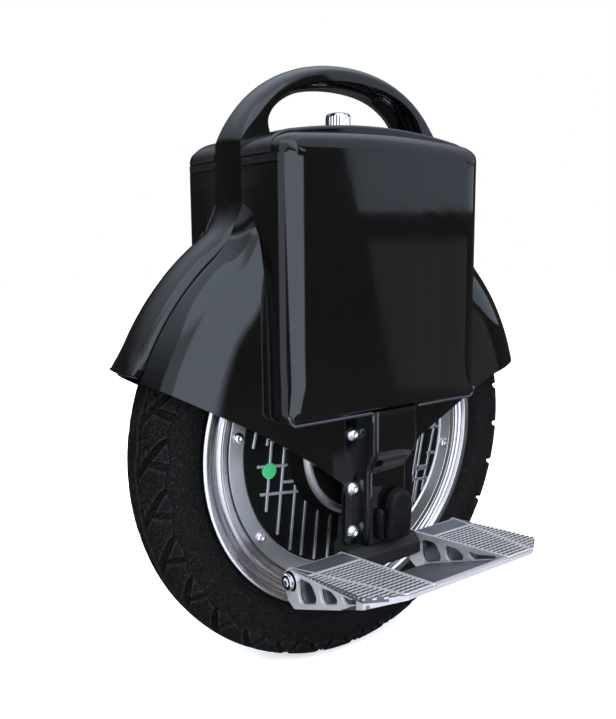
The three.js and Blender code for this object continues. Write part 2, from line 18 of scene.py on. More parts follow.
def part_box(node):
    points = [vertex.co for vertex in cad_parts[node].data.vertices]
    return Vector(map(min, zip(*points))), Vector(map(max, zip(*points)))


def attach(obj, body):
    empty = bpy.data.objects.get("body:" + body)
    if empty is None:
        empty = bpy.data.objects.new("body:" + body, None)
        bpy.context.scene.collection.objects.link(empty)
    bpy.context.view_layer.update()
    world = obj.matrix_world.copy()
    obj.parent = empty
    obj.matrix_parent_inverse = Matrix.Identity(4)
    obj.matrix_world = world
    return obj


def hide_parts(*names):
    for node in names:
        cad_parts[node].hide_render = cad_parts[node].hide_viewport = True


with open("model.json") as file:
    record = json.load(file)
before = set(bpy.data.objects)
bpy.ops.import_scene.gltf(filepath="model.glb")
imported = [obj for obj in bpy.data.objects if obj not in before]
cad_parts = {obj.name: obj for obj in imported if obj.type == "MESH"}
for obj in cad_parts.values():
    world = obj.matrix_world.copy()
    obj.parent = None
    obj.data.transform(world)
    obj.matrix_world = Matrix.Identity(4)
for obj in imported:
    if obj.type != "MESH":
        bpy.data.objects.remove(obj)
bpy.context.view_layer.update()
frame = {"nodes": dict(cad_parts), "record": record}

MM = 0.001
axle_low, axle_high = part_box("axle")
WHEEL_Z = (axle_low.z + axle_high.z) / 2
SIDES = {"left": 1, "right": -1}
CAMERA_TURN = (35.8706, 8.8017, -0.4339)  # degrees of yaw, pitch and roll
CAMERA_PLACE = (0.37842, 0.48444, 0.15806)  # metres from the wheel's centre
LENS_MM, SENSOR_MM = 38.88, 36
LIT_PLACE = (0, 0, 0.2)  # where the lights point, in metres
FLOOR_HALF = 6.0


# ---- camera, light, floor
def add_camera():
    yaw, pitch, roll = (math.radians(a) for a in CAMERA_TURN)
    level = math.cos(pitch)
    back = Vector((math.sin(yaw) * level, math.cos(yaw) * level, math.sin(pitch)))
    right = (-back).cross(Vector((0, 0, 1))).normalized()
    up = right.cross(-back)
    turned_right = math.cos(roll) * right + math.sin(roll) * up
    turned_up = -math.sin(roll) * right + math.cos(roll) * up
    data = bpy.data.cameras.new("camera")
    data.sensor_width = SENSOR_MM
    data.lens = LENS_MM
    data.clip_start = 0.01
    camera = linked("camera", data)
    axes = Matrix((turned_right, turned_up, back)).transposed()
    x, y, z = CAMERA_PLACE
    camera.matrix_world = Matrix.Translation((x, y, z + WHEEL_Z)) @ axes.to_4x4()
    bpy.context.scene.camera = camera


def linked(name, data):
    thing = bpy.data.objects.new(name, data)
    bpy.context.scene.collection.objects.link(thing)
    return thing


def area_light(name, place, size, power):
    """A soft rectangular light that isn't seen in reflections."""
    data = bpy.data.lights.new(name, "AREA")
    data.shape = "RECTANGLE"
    data.size, data.size_y = size
    data.energy = power
    light = linked(name, data)
    light.location = place
    aim = Vector(LIT_PLACE) - Vector(place)
    light.rotation_euler = aim.to_track_quat("-Z", "Y").to_euler()
    light.visible_glossy = False


class Nodes:
    """A short way to write a node tree."""

    def __init__(self, tree):
        self.tree = tree
        tree.nodes.clear()

    def add(self, kind, **values):
        node = self.tree.nodes.new(kind)
        for key, value in values.items():
            if key.startswith("in_"):
                name = key[3:].replace("_", " ")
                socket = node.inputs[int(name)] if name.isdigit() else node.inputs[name]
                self.feed(socket, value)
            else:
                setattr(node, key, value)
        return node

    def feed(self, socket, value):
        if isinstance(value, bpy.types.NodeSocket):
            self.tree.links.new(value, socket)
        else:
            socket.default_value = value

    def math(self, operation, *values):
        node = self.add("ShaderNodeMath", operation=operation)
        for socket, value in zip(node.inputs, values):
            self.feed(socket, value)
        return node.outputs[0]

    def ramp(self, value, low, high, out_low=0.0, out_high=1.0):
        node = self.add("ShaderNodeMapRange", interpolation_type="SMOOTHSTEP")
        self.feed(node.inputs["Value"], value)
        limits = {"From Min": low, "From Max": high, "To Min": out_low, "To Max": out_high}
        for name, number in limits.items():
            self.feed(node.inputs[name], number)
        return node.outputs[0]

    def times(self, a, b):
        return self.math("MULTIPLY", a, b)

    def mix(self, factor, a, b):
        node = self.add("ShaderNodeMix", data_type="RGBA")
        self.feed(node.inputs[0], factor)
        self.feed(node.inputs[6], a)
        self.feed(node.inputs[7], b)
        return node.outputs[2]


def rgba(r, g, b):
    return (r, g, b, 1.0)


def add_world():
    """A white backdrop to the eye; in reflections a dim room with soft window light.

    Azimuths run anticlockwise from +X and heights up from level, both in degrees.
    """
    world = bpy.data.worlds.new("studio")
    bpy.context.scene.world = world
    world.use_nodes = True
    n = Nodes(world.node_tree)
    way = n.add("ShaderNodeTexCoord").outputs["Generated"]
    xyz = n.add("ShaderNodeSeparateXYZ", in_0=way)
    azimuth = n.math("DEGREES", n.math("ARCTAN2", xyz.outputs[1], xyz.outputs[0]))
    height = n.math("DEGREES", n.math("ARCSINE", xyz.outputs[2]))
    leaning = n.math("ADD", azimuth, n.times(height, 0.2))
    slanted = n.math("ADD", azimuth, n.times(n.math("ADD", height, 9.0), 1.1))
    across = n.add("ShaderNodeCombineXYZ", in_0=azimuth).outputs[0]
    ragged = noise(n, across, 0.9, 4.0, 0.7)
    roofline = n.math("ADD", height, n.times(n.math("SUBTRACT", ragged, 0.5), 1.6))

    def window(az0, az1, el0, el1, soft_az, soft_el, across=azimuth, up=height):
        inside = n.ramp(across, az0 - soft_az, az0 + soft_az)
        inside = n.times(inside, n.ramp(across, az1 - soft_az, az1 + soft_az, 1, 0))
        inside = n.times(inside, n.ramp(up, el0 - soft_el, el0 + soft_el))
        return n.times(inside, n.ramp(up, el1 - soft_el, el1 + soft_el, 1, 0))

    dark_ground, dim_room, ceiling = rgba(0.05, 0.043, 0.036), rgba(0.11, 0.105, 0.1), rgba(1.2, 1.36, 1.62)
    colour = n.mix(n.ramp(height, -14, -5, 1, 0), dark_ground, dim_room)
    colour = n.mix(n.ramp(height, 12, 60), colour, ceiling)
    streaks = n.ramp(ragged, 0.3, 0.7, 0.45, 1.0)
    grey_wall = n.times(window(130.2, 150, -11, -0.1, 0.25, 0.5, leaning), streaks)
    colour = n.mix(grey_wall, colour, rgba(0.34, 0.34, 0.34))
    skyline = window(130.0, 178, 1.9, 60, 0.12, 0.15, leaning, roofline)
    colour = n.mix(skyline, colour, rgba(0.75, 0.88, 1.05))
    bright = n.times(window(69, 200, -40, 70, 2, 4, slanted), n.ramp(azimuth, 107, 112, 1, 0))
    colour = n.mix(bright, colour, rgba(2.0, 2.3, 2.7))
    colour = n.mix(window(17, 54, -40, 40, 3, 6), colour, rgba(1.0, 1.1, 1.25))
    seen = n.add("ShaderNodeLightPath").outputs["Is Camera Ray"]
    colour = n.mix(seen, colour, rgba(1, 1, 1))
    background = n.add("ShaderNodeBackground", in_Color=colour)
    output = n.add("ShaderNodeOutputWorld")
    n.tree.links.new(background.outputs[0], output.inputs[0])


def noise(n, place, scale, detail=3.0, roughness=0.55):
    return n.add(
        "ShaderNodeTexNoise", in_Vector=place, in_Scale=scale, in_Detail=detail, in_Roughness=roughness
    ).outputs[0]


def add_floor():
    mesh = bpy.data.meshes.new("studio_floor")
    corners = [(FLOOR_HALF * x, FLOOR_HALF * y, 0) for x, y in ((-1, -1), (1, -1), (1, 1), (-1, 1))]
    mesh.from_pydata(corners, [], [(0, 1, 2, 3)])
    floor = linked("studio_floor", mesh)
    material = bpy.data.materials.new("studio_floor")
    material.use_nodes = True
    n = Nodes(material.node_tree)
    place = n.add("ShaderNodeNewGeometry").outputs["Position"]
    cloud = n.add("ShaderNodeTexNoise", in_Vector=place, in_Scale=1.5).outputs[0]
    colour = n.mix(cloud, rgba(0.9, 0.9, 0.9), rgba(0.94, 0.94, 0.94))
    paper = n.add("ShaderNodeBsdfDiffuse", in_Color=colour)
    glow = n.add("ShaderNodeEmission", in_Color=rgba(1, 1, 1), in_Strength=0.45)
    both = n.add("ShaderNodeAddShader", in_0=paper.outputs[0], in_1=glow.outputs[0])
    n.tree.links.new(both.outputs[0], n.add("ShaderNodeOutputMaterial").inputs[0])
    mesh.materials.append(material)
    floor.visible_glossy = False


add_camera()
add_world()
add_floor()
area_light("overhead", (0.2, 0.3, 2.3), (2.2, 2.2), 60)
area_light("key", (1.1, 1.7, 1.5), (1.4, 1.0), 50)
area_light("fill", (-1.8, 0.9, 1.2), (1.0, 1.0), 18)
bpy.context.scene.view_settings.view_transform = "Standard"


# ---- finishes
FINISH = {}


def new_finish(name):
    material = bpy.data.materials.new(name)
    FINISH[name] = material
    material.use_nodes = True
    n = Nodes(material.node_tree)
    shader = n.add("ShaderNodeBsdfPrincipled")
    n.tree.links.new(shader.outputs[0], n.add("ShaderNodeOutputMaterial").inputs[0])
    place = n.add("ShaderNodeTexCoord").outputs["Object"]
    return n, shader, place


def toned(colour, share, lift=0.0):
    return rgba(*(min(1, share * c + lift) for c in colour))


def bump(n, shader, height, strength, distance):
    node = n.add("ShaderNodeBump", in_Height=height, in_Strength=strength, in_Distance=distance)
    n.feed(shader.inputs["Normal"], node.outputs[0])


def edge_wear(n, low=0.53, high=0.62):
    point = n.add("ShaderNodeNewGeometry").outputs["Pointiness"]
    return n.ramp(point, low, high)


def gloss_finish(name, dark, light):
    """High-gloss moulded plastic: faint orange peel, handling haze and dust."""
    n, shader, place = new_finish(name)
    haze = noise(n, place, 9.0, 5.0, 0.6)
    dust = n.ramp(noise(n, place, 1400.0, 2.0), 0.66, 0.76)
    colour = n.mix(haze, rgba(*dark), rgba(*light))
    colour = n.mix(n.times(dust, 0.25), colour, rgba(0.03, 0.03, 0.03))
    colour = n.mix(n.times(edge_wear(n), 0.2), colour, rgba(0.04, 0.041, 0.045))
    n.feed(shader.inputs["Base Color"], colour)
    streak = n.ramp(noise(n, place, 60.0, 4.0), 0.35, 0.75, 0.03, 0.07)
    rough = n.math("ADD", streak, n.ramp(haze, 0.4, 0.8, 0.0, 0.03))
    n.feed(shader.inputs["Roughness"], n.math("ADD", rough, n.times(dust, 0.1)))
    shader.inputs["IOR"].default_value = 1.5
    peel = n.math("ADD", noise(n, place, 130.0, 1.0), n.times(noise(n, place, 14.0, 1.0), 6.0))
    bump(n, shader, peel, 0.05, 0.00012)


def tyre_finish(name):
    """Tyre rubber: fine grain with light specks of road dust, and lighter worn tread tops."""
    n, shader, place = new_finish(name)
    cloud = noise(n, place, 22.0, 6.0, 0.6)
    grain = noise(n, place, 900.0, 3.0)
    colour = n.mix(cloud, rgba(0.0012, 0.0012, 0.0013), rgba(0.003, 0.003, 0.0032))
    colour = n.mix(n.ramp(grain, 0.5, 0.7, 0, 0.6), colour, rgba(0.02, 0.0195, 0.019))
    wear = n.times(edge_wear(n, 0.51, 0.58), 0.45)
    colour = n.mix(wear, colour, rgba(0.022, 0.022, 0.023))
    n.feed(shader.inputs["Base Color"], colour)
    n.feed(shader.inputs["Roughness"], n.ramp(cloud, 0.3, 0.7, 0.55, 0.8))
    shader.inputs["Specular IOR Level"].default_value = 0.07
    bump(n, shader, n.math("ADD", grain, n.times(cloud, 1.5)), 0.35, 0.0005)


def metal_finish(name, colour, rough, grain=500.0, depth=0.1, dirt=0.3, metallic=1.0, turned=False,
                 wall_shade=0.0):
    """Bare or plated metal. A turned one has fine rings about the axle; wall_shade paints shade on upright
    walls, as if lit from above.
    """
    n, shader, place = new_finish(name)
    cloud = noise(n, place, 30.0, 5.0, 0.6)
    if turned:
        xyz = n.add("ShaderNodeSeparateXYZ", in_0=place)
        height = n.math("SUBTRACT", xyz.outputs[2], WHEEL_Z)
        squares = n.math("ADD", n.math("POWER", xyz.outputs[0], 2.0), n.math("POWER", height, 2.0))
        radius = n.math("SQRT", squares)
        rings = n.add("ShaderNodeCombineXYZ", in_0=radius, in_1=n.times(xyz.outputs[1], 0.3))
        fine = noise(n, rings.outputs[0], 1600.0, 3.0)
    else:
        fine = noise(n, place, grain, 4.0)
    stain = n.ramp(noise(n, place, 75.0, 6.0, 0.7), 0.52, 0.8)
    tone = n.mix(n.times(stain, dirt), rgba(*colour), toned(colour, 0.6))
    tone = n.mix(n.times(cloud, 0.25), tone, toned(colour, 0.85))
    if wall_shade:
        # painted shade: walls facing sideways are darkened, as if the light fell from above
        normal = n.add("ShaderNodeSeparateXYZ", in_0=n.add("ShaderNodeTexCoord").outputs["Normal"])
        shaded_walls = n.ramp(n.math("ABSOLUTE", normal.outputs[2]), 0.3, 0.8, wall_shade, 0)
        tone = n.mix(shaded_walls, tone, rgba(0.035, 0.035, 0.04))
    n.feed(shader.inputs["Base Color"], tone)
    shader.inputs["Metallic"].default_value = metallic
    base = n.ramp(cloud, 0.3, 0.75, rough[0], rough[1])
    n.feed(shader.inputs["Roughness"], n.math("ADD", base, n.ramp(fine, 0.3, 0.8, 0.0, 0.08)))
    bump(n, shader, fine, depth, 0.0002)


def plain_finish(name, dark, light, rough=(0.35, 0.5), grain=700.0, depth=0.2, shine=0.5):
    """Matt plastic, rubber, paint or wrap with its own grain and scuffs."""
    n, shader, place = new_finish(name)
    cloud = noise(n, place, 40.0, 6.0, 0.6)
    fine = noise(n, place, grain, 3.0)
    colour = n.mix(cloud, rgba(*dark), rgba(*light))
    colour = n.mix(n.times(edge_wear(n), 0.4), colour, toned(light, 2.2, 0.02))
    n.feed(shader.inputs["Base Color"], colour)
    n.feed(shader.inputs["Roughness"], n.ramp(cloud, 0.3, 0.7, rough[0], rough[1]))
    shader.inputs["Specular IOR Level"].default_value = shine
    bump(n, shader, n.math("ADD", fine, cloud), depth, 0.0003)


SOOT, JET, CHARCOAL = (0.001, 0.001, 0.001), (0.0015, 0.0015, 0.0015), (0.004, 0.004, 0.004)
CASTING = dict(grain=900.0, depth=0.25, dirt=0.22, metallic=0.7)

gloss_finish("gloss_body", (0.0012, 0.0012, 0.0013), (0.0026, 0.0025, 0.0026))
plain_finish("recess_paint", SOOT, (0.0025, 0.0025, 0.0025), grain=500.0, depth=0.15, shine=0.1)
tyre_finish("tyre_rubber")
metal_finish("polished_rim", (0.7, 0.67, 0.69), (0.13, 0.22), dirt=0.4, turned=True)
metal_finish("cast_cover", (0.62, 0.61, 0.62), (0.28, 0.4), 700.0, 0.15, 0.25)
metal_finish("cast_pedal", (0.6, 0.58, 0.61), (0.38, 0.5), **CASTING)
# the ridges' walls get painted shade
metal_finish("ridged_tread", (0.66, 0.64, 0.67), (0.38, 0.5), wall_shade=0.85, **CASTING)
# mid grey metal: a painted highlight on the pods' lips, and painted shade on the pedals' webs
metal_finish("lip_highlight_web_shade", (0.16, 0.165, 0.18), (0.28, 0.4), 500.0, 0.2, 0.5)
# a darker casting grey: painted shade on the footrest's floor between the pads and on the strip by the hinge
metal_finish("shade_painted_casting", (0.33, 0.34, 0.35), (0.5, 0.62), 700.0, 0.35, 0.4)
metal_finish("bright_fasteners", (0.86, 0.86, 0.86), (0.12, 0.22), 800.0, 0.05, 0.2)
metal_finish("chrome_trim", (0.88, 0.885, 0.9), (0.07, 0.15), 600.0, 0.03, 0.15)
metal_finish("plain_steel", (0.42, 0.43, 0.45), (0.3, 0.45), 600.0, 0.2, 0.5)
plain_finish("bumper_rubber", (0.0015, 0.0015, 0.0016), (0.004, 0.004, 0.0042), (0.4, 0.6), 260.0, 0.5, 0.15)
plain_finish("black_plastic", JET, CHARCOAL, (0.4, 0.6), shine=0.12)
metal_finish("copper_windings", (0.62, 0.3, 0.16), (0.35, 0.5), 160.0, 0.6, 0.5)
plain_finish("circuit_board", (0.008, 0.07, 0.02), (0.016, 0.12, 0.035), grain=300.0)
plain_finish("battery_wrap", (0.012, 0.04, 0.12), (0.02, 0.07, 0.2), (0.3, 0.45), 90.0, 0.3)
metal_finish("sink_metal", (0.6, 0.6, 0.62), (0.35, 0.5), 500.0, 0.2)
plain_finish("green_sticker", (0.01, 0.19, 0.06), (0.02, 0.3, 0.1), grain=500.0, depth=0.15)


# ---- mesh tools
class Shape:
    """Points in millimetres about the wheel's centre, and faces."""

    def __init__(self):
        self.points = []
        self.faces = []

    def add(self, points, faces):
        start = len(self.points)
        self.points.extend(tuple(float(c) for c in p) for p in points)
        self.faces.extend(tuple(start + i for i in face) for face in faces)
        return start

    def join(self, other):
        self.add(other.points, other.faces)

    def loop_face(self, start, count):
        self.faces.append(tuple(range(start, start + count)))


def mesh_piece(name, shape, finish, body, slot, replaces=(), side=1, sharp=35.0, bevel=0.0, flat_faces=True):
    mesh = bpy.data.meshes.new(name)
    points = np.array(shape.points) * (MM, side * MM, MM) + (0, 0, WHEEL_Z)
    mesh.from_pydata([tuple(p) for p in points], [], shape.faces)
    mesh.validate()
    piece = linked(name, mesh)
    settle_normals(mesh)
    if bevel:
        modifier = piece.modifiers.new("bevel", "BEVEL")
        modifier.width = bevel * MM
        modifier.segments = 2
        modifier.limit_method = "ANGLE"
        modifier.angle_limit = math.radians(40)
        modifier.use_clamp_overlap = True
        applied(piece)
    piece.data.shade_smooth()
    piece.data.set_sharp_from_angle(angle=math.radians(sharp))
    if flat_faces:
        weighted = piece.modifiers.new("weighted", "WEIGHTED_NORMAL")
        weighted.keep_sharp = True
    piece.data.materials.clear()
    piece.data.materials.append(FINISH[finish])
    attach(piece, body)
    if replaces:
        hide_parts(*replaces)
    return piece


def side_piece(side_name, name, shape, finish, body, slot, *nodes, **look):
    """A piece of one side, standing for that side's CAD nodes; body "pedal" is that side's too."""
    body = f"{side_name}_pedal" if body == "pedal" else body
    return mesh_piece(f"{side_name}_{name}", shape, finish, body, slot,
                      [f"{side_name}_{node}" for node in nodes], side=SIDES[side_name], **look)


def settle_normals(mesh):
    work = bmesh.new()
    work.from_mesh(mesh)
    bmesh.ops.remove_doubles(work, verts=work.verts, dist=1e-7)
    bmesh.ops.recalc_face_normals(work, faces=work.faces)
    work.to_mesh(mesh)
    work.free()


def applied(piece):
    graph = bpy.context.evaluated_depsgraph_get()
    piece.data = bpy.data.meshes.new_from_object(piece.evaluated_get(graph))
    piece.modifiers.clear()


def unit(v):
    v = np.asarray(v, float)
    return v / max(np.linalg.norm(v), 1e-12)


def fillet(points, radius, steps=4, closed=True):
    """Rounds the corners of a closed loop, or of a line between its ends.

    radius is one number or one per corner, and steps is how many faces each corner gets.
    """
    points = [np.asarray(p, float) for p in points]
    count = len(points)
    radii = [radius] * count if np.isscalar(radius) else list(radius)
    result = []
    for i, corner in enumerate(points):
        if radii[i] <= 0 or (not closed and i in (0, count - 1)):
            result.append(corner)
            continue
        before, after = points[i - 1] - corner, points[(i + 1) % count] - corner
        a, b = unit(before), unit(after)
        half = math.acos(max(-1, min(1, float(a @ b)))) / 2
        if half > math.radians(89):
            result.append(corner)
            continue
        room = [0.48 * np.linalg.norm(edge) for edge in (before, after)]
        reach = min(radii[i] / math.tan(half), *room)
        centre = corner + unit(a + b) * reach / math.cos(half)
        start, end = corner + a * reach - centre, corner + b * reach - centre
        sweep = math.pi - 2 * half
        for k in range(steps + 1):
            t = k / steps
            spoke = math.sin((1 - t) * sweep) * start + math.sin(t * sweep) * end
            result.append(centre + spoke / math.sin(sweep))
    return np.array(result)


def open_fillet(points, radii, steps):
    return fillet(points, radii, steps, closed=False)


def bezier(p0, p1, p2, p3, steps):
    t = np.linspace(0, 1, steps + 1)[:, None]
    p0, p1, p2, p3 = (np.asarray(p, float) for p in (p0, p1, p2, p3))
    return (1 - t) ** 3 * p0 + 3 * t * (1 - t) ** 2 * p1 + 3 * t * t * (1 - t) * p2 + t ** 3 * p3


def smooth_curve(points, steps):
    """A Catmull-Rom curve through the points, steps to each span."""
    p = np.array(points, float)
    p = np.vstack([2 * p[0] - p[1], p, 2 * p[-1] - p[-2]])
    out = []
    for i in range(1, len(p) - 2):
        for k in range(steps):
            t = k / steps
            a, b, c, d = p[i - 1], p[i], p[i + 1], p[i + 2]
            square, cube = 2 * a - 5 * b + 4 * c - d, 3 * b - a - 3 * c + d
            out.append(0.5 * (2 * b + (c - a) * t + square * t ** 2 + cube * t ** 3))
    out.append(p[-2])
    return np.array(out)


def signed_area(loop):
    x, y = loop[:, 0], loop[:, 1]
    return 0.5 * float(np.sum(x * np.roll(y, -1) - np.roll(x, -1) * y))


def left_normals(loop):
    """At each point of a closed loop, the way to its left, longer at a sharp corner."""
    ahead = np.roll(loop, -1, axis=0) - loop
    ahead /= np.maximum(np.linalg.norm(ahead, axis=1, keepdims=True), 1e-12)
    behind = np.roll(ahead, 1, axis=0)
    normal = np.stack([-(ahead + behind)[:, 1], (ahead + behind)[:, 0]], axis=1)
    normal /= np.maximum(np.linalg.norm(normal, axis=1, keepdims=True), 1e-12)
    straight = np.stack([-ahead[:, 1], ahead[:, 0]], axis=1)
    return normal / np.maximum(np.sum(normal * straight, axis=1, keepdims=True), 0.4)


def side_view(u, v, w):
    return (u, w, v)


def front_view(u, v, w):
    return (w, u, v)


def top_view(u, v, w):
    return (u, v, w)


def plate(loops, levels, view=side_view, scales=None):
    """A plate with holes. The first loop is the outline and the others are holes; levels lists
    (w, inset) or (w, [inset of each loop]). An inset may be several numbers, and scales then
    gives each loop's points their own share of every one of them."""
    shape = Shape()
    ordered = []
    for k, loop in enumerate(loops):
        loop = np.asarray(loop, float)
        share = np.ones((len(loop), 1))
        if scales is not None:
            share = np.asarray(scales[k], float).reshape(len(loop), -1)
        if (signed_area(loop) > 0) != (k == 0):
            loop, share = loop[::-1], share[::-1]
        ordered.append((loop, left_normals(loop), share))
    starts, rings = [], []
    for w, insets in levels:
        insets = [insets] * len(loops) if np.isscalar(insets) else insets
        ring = [loop + normal * (share @ np.atleast_1d(inset))[:, None]
                for (loop, normal, share), inset in zip(ordered, insets)]
        starts.append(shape.add([view(u, v, w) for moved in ring for u, v in moved], []))
        rings.append(ring)
    for low, high in zip(starts, starts[1:]):
        offset = 0
        for loop, _, _ in ordered:
            n = len(loop)
            for i in range(n):
                a, b = offset + i, offset + (i + 1) % n
                shape.faces.append((low + a, low + b, high + b, high + a))
            offset += n
    cap(shape, starts[0], rings[0])
    cap(shape, starts[-1], rings[-1])
    return shape


def cap(shape, start, ring):
    if len(ring) == 1:
        shape.loop_face(start, len(ring[0]))
        return
    polygons = [[Vector((u, v, 0)) for u, v in loop] for loop in ring]
    for triangle in tessellate_polygon(polygons):
        shape.faces.append(tuple(start + i for i in triangle))


def rounded_levels(low, high, radius, steps=3):
    """Levels for a plate whose rims are rounded."""
    angles = [math.pi / 2 * k / steps for k in range(steps + 1)]
    lower = [(low + radius * (1 - math.sin(a)), radius * (1 - math.cos(a))) for a in reversed(angles)]
    upper = [(high - radius * (1 - math.sin(a)), radius * (1 - math.cos(a))) for a in angles]
    return lower + upper


def lathe(profile, segments=192, closed=True, axis="y", centre=(0.0, 0.0, 0.0)):
    """Turns [radius, along] points round an axis. An open profile must start and end on it."""
    shape = Shape()
    profile = np.asarray(profile, float)
    rows = []
    for radius, along in profile:
        if radius < 1e-6:
            rows.append([shape.add([on_axis(axis, centre, 0, 0, along)], [])])
            continue
        angles = 2 * math.pi * np.arange(segments) / segments
        start = shape.add([on_axis(axis, centre, radius, a, along) for a in angles], [])
        rows.append(list(range(start, start + segments)))
    pairs = list(zip(rows, rows[1:])) + ([(rows[-1], rows[0])] if closed else [])
    for a, b in pairs:
        for i in range(segments):
            j = (i + 1) % segments
            if len(a) == 1 and len(b) > 1:
                shape.faces.append((a[0], b[j], b[i]))
            elif len(b) == 1 and len(a) > 1:
                shape.faces.append((a[i], a[j], b[0]))
            elif len(a) > 1:
                shape.faces.append((a[i], a[j], b[j], b[i]))
    return shape


def on_axis(axis, centre, radius, angle, along):
    c, s = radius * math.cos(angle), radius * math.sin(angle)
    place = {"x": (along, c, s), "y": (c, along, s), "z": (c, s, along)}[axis]
    return tuple(p + q for p, q in zip(place, centre))


def grid_faces(start, rows, columns, wrap_columns=False, wrap_rows=False):
    faces = []
    for i in range(rows if wrap_rows else rows - 1):
        for j in range(columns if wrap_columns else columns - 1):
            i2, j2 = (i + 1) % rows, (j + 1) % columns
            corners = ((i, j), (i, j2), (i2, j2), (i2, j))
            faces.append(tuple(start + r * columns + c for r, c in corners))
    return faces


def loft(rings, first_cap=True):
    """A skin over rings of points, closed at both ends or only at the last."""
    shape = Shape()
    for ring in rings:
        shape.add(ring, [])
    rows, count = len(rings), len(rings[0])
    shape.faces.extend(grid_faces(0, rows, count, wrap_columns=True))
    if first_cap:
        shape.loop_face(0, count)
    shape.loop_face((rows - 1) * count, count)
    return shape


# ---- spine with neck and handle
CROWN_R = 197.4
WELL_R = 187.0
SPINE_HALF = 18.0
NECK_X = 100.2
NECK_FLAT, NECK_CHAMFER = 9.0, 4.0
DECK_Z = 228.0
HANDLE_TOP = 286.0
FRONT_TIP, REAR_TIP, NECK_FOOT = 21.1, 17.5, 54.0
CROWN_ROUND = 8.2
GRIP_FLAT, GRIP_BEVEL = 6.5, 4.0


def polar(radius, degrees):
    return np.array([radius * math.cos(math.radians(degrees)), radius * math.sin(math.radians(degrees))])


def arc(radius, start, end, steps):
    return [polar(radius, a) for a in np.linspace(start, end, steps + 1)]


def quadratic(p0, p1, p2, steps):
    t = np.linspace(0, 1, steps + 1)[:, None]
    p0, p1, p2 = (np.asarray(p, float) for p in (p0, p1, p2))
    return (1 - t) ** 2 * p0 + 2 * t * (1 - t) * p1 + t * t * p2


def spine_front_half():
    """Outer line from the front tip up over the crown and neck to the top of the handle."""
    crown = arc(CROWN_R, FRONT_TIP + 0.7, NECK_FOOT, 26)
    foot = quadratic(crown[-1], (NECK_X + 0.5, 171), (NECK_X, 190), 16)[1:]
    neck = [(NECK_X, z) for z in (197, 204, 211, 218)]
    grip = bezier((NECK_X, 225), (88.5, 255.5), (57, HANDLE_TOP), (0, HANDLE_TOP), 34)
    return np.vstack([crown, foot, neck, grip])


def ease(values, low, high):
    t = np.clip((np.asarray(values, float) - low) / (high - low), 0, 1)
    return t * t * (3 - 2 * t)


def mudguard_tip(degrees):
    """The rounded end of the mudguard, from its crown in to the well."""
    corners = [(CROWN_R, degrees + 0.4), (CROWN_R, degrees), (WELL_R, degrees), (WELL_R, degrees + 2)]
    return open_fillet([polar(*corner) for corner in corners], [0, 2.0, 1.5, 0], 3)


def spine():
    front = spine_front_half()
    rear = spine_front_half()[:-1]
    keep = np.degrees(np.arctan2(rear[:, 1], rear[:, 0])) > REAR_TIP + 0.5
    extra = arc(CROWN_R, REAR_TIP + 0.7, FRONT_TIP, 3)
    rear = np.vstack([extra, rear[keep]]) * (-1, 1)
    outline = np.vstack([front, rear[::-1]])
    flat_share = ease(outline[:, 1], 166, 182) * (1 - ease(outline[:, 1], 226, 250))
    rear_tip = mudguard_tip(REAR_TIP) * (-1, 1)
    well = arc(WELL_R, 180 - REAR_TIP - 2.2, FRONT_TIP + 2.2, 120)
    front_tip = mudguard_tip(FRONT_TIP)[::-1]
    loop = np.vstack([outline, rear_tip, well, front_tip])
    rise = np.degrees(np.arctan2(outline[:, 1], np.abs(outline[:, 0])))
    tip = np.where(outline[:, 0] > 0, FRONT_TIP, REAR_TIP)
    tip_fade = 0.3 + 0.7 * ease(rise, tip, tip + 6)
    share = np.concatenate([(1 - flat_share) * tip_fade, np.full(len(rear_tip), 0.3), np.zeros(len(well)),
                            np.full(len(front_tip), 0.3)])
    flat_share = np.concatenate([flat_share, np.zeros(len(loop) - len(outline))])
    hole = np.vstack([
        bezier((71, 232), (71, 252), (45, 269), (0, 269), 22),
        bezier((0, 269), (-45, 269), (-71, 252), (-71, 232), 22)[1:],
        [(-70.2, 229.2), (-68, DECK_Z)], [(x, DECK_Z) for x in np.linspace(-60, 60, 13)],
        [(68, DECK_Z), (70.2, 229.2)],
    ])
    hole_share = np.clip((hole[:, 1] - DECK_Z - 1) / 10, 0, 1)
    levels = []
    upper = (8, 20, 28.5, 32, 38, 48, 58, 68, 80, 90)
    for degrees in [-a for a in reversed(upper)] + list(upper):
        a = math.radians(degrees)
        y = SPINE_HALF * math.sin(a)
        grip = max(0.0, (abs(y) - GRIP_FLAT) / (SPINE_HALF - GRIP_FLAT))
        chamfer = NECK_CHAMFER * max(0.0, (abs(y) - NECK_FLAT) / (SPINE_HALF - NECK_FLAT))
        levels.append((y, [(CROWN_ROUND * (1 - math.cos(a)), chamfer), GRIP_BEVEL * grip ** 1.5]))
    return plate([loop, hole], levels, side_view, [np.stack([share, flat_share], axis=1), hole_share])


mesh_piece("spine_moulding", spine(), "gloss_body", "body", "gloss_body", ["spine"])


# ---- side shells
SHELL_LINE = [
    (186.6, 18.15), (187.6, 18.9), (188.4, 19.6), (188.3, 20.3), (187.6, 21.4), (186.2, 23.9), (183, 29.3),
    (178.5, 34.9), (172, 39.6), (162, 43.6), (150, 46), (130, 47.6), (105, 48.5), (80, 48.8), (60, 48.95),
    (45, 49),
]
SHELL_WALL = 2.6
FRONT_EDGE = [(184.6, 71.3), (102, 26), (70, 6), (41, -15), (34, -20.5)]
REAR_EDGE = [(-187.6, 60.2), (-180, 52.5), (-130, 42), (-110, 34), (-42, 1), (-40, -2)]
TONGUE = [(-40, -2), (-38, -10), (-38, -43), (-34.2, -56.5), (-34.2, -71), (30, -71), (30, -24), (34, -20.5)]
POD_FRONT, POD_REAR = 96.4, -92.4
GROOVE = np.array([(109.5, 15.0), (107.2, 19.0), (102.4, 28.0), (96.0, 36.8)])  # under the lobe, from above
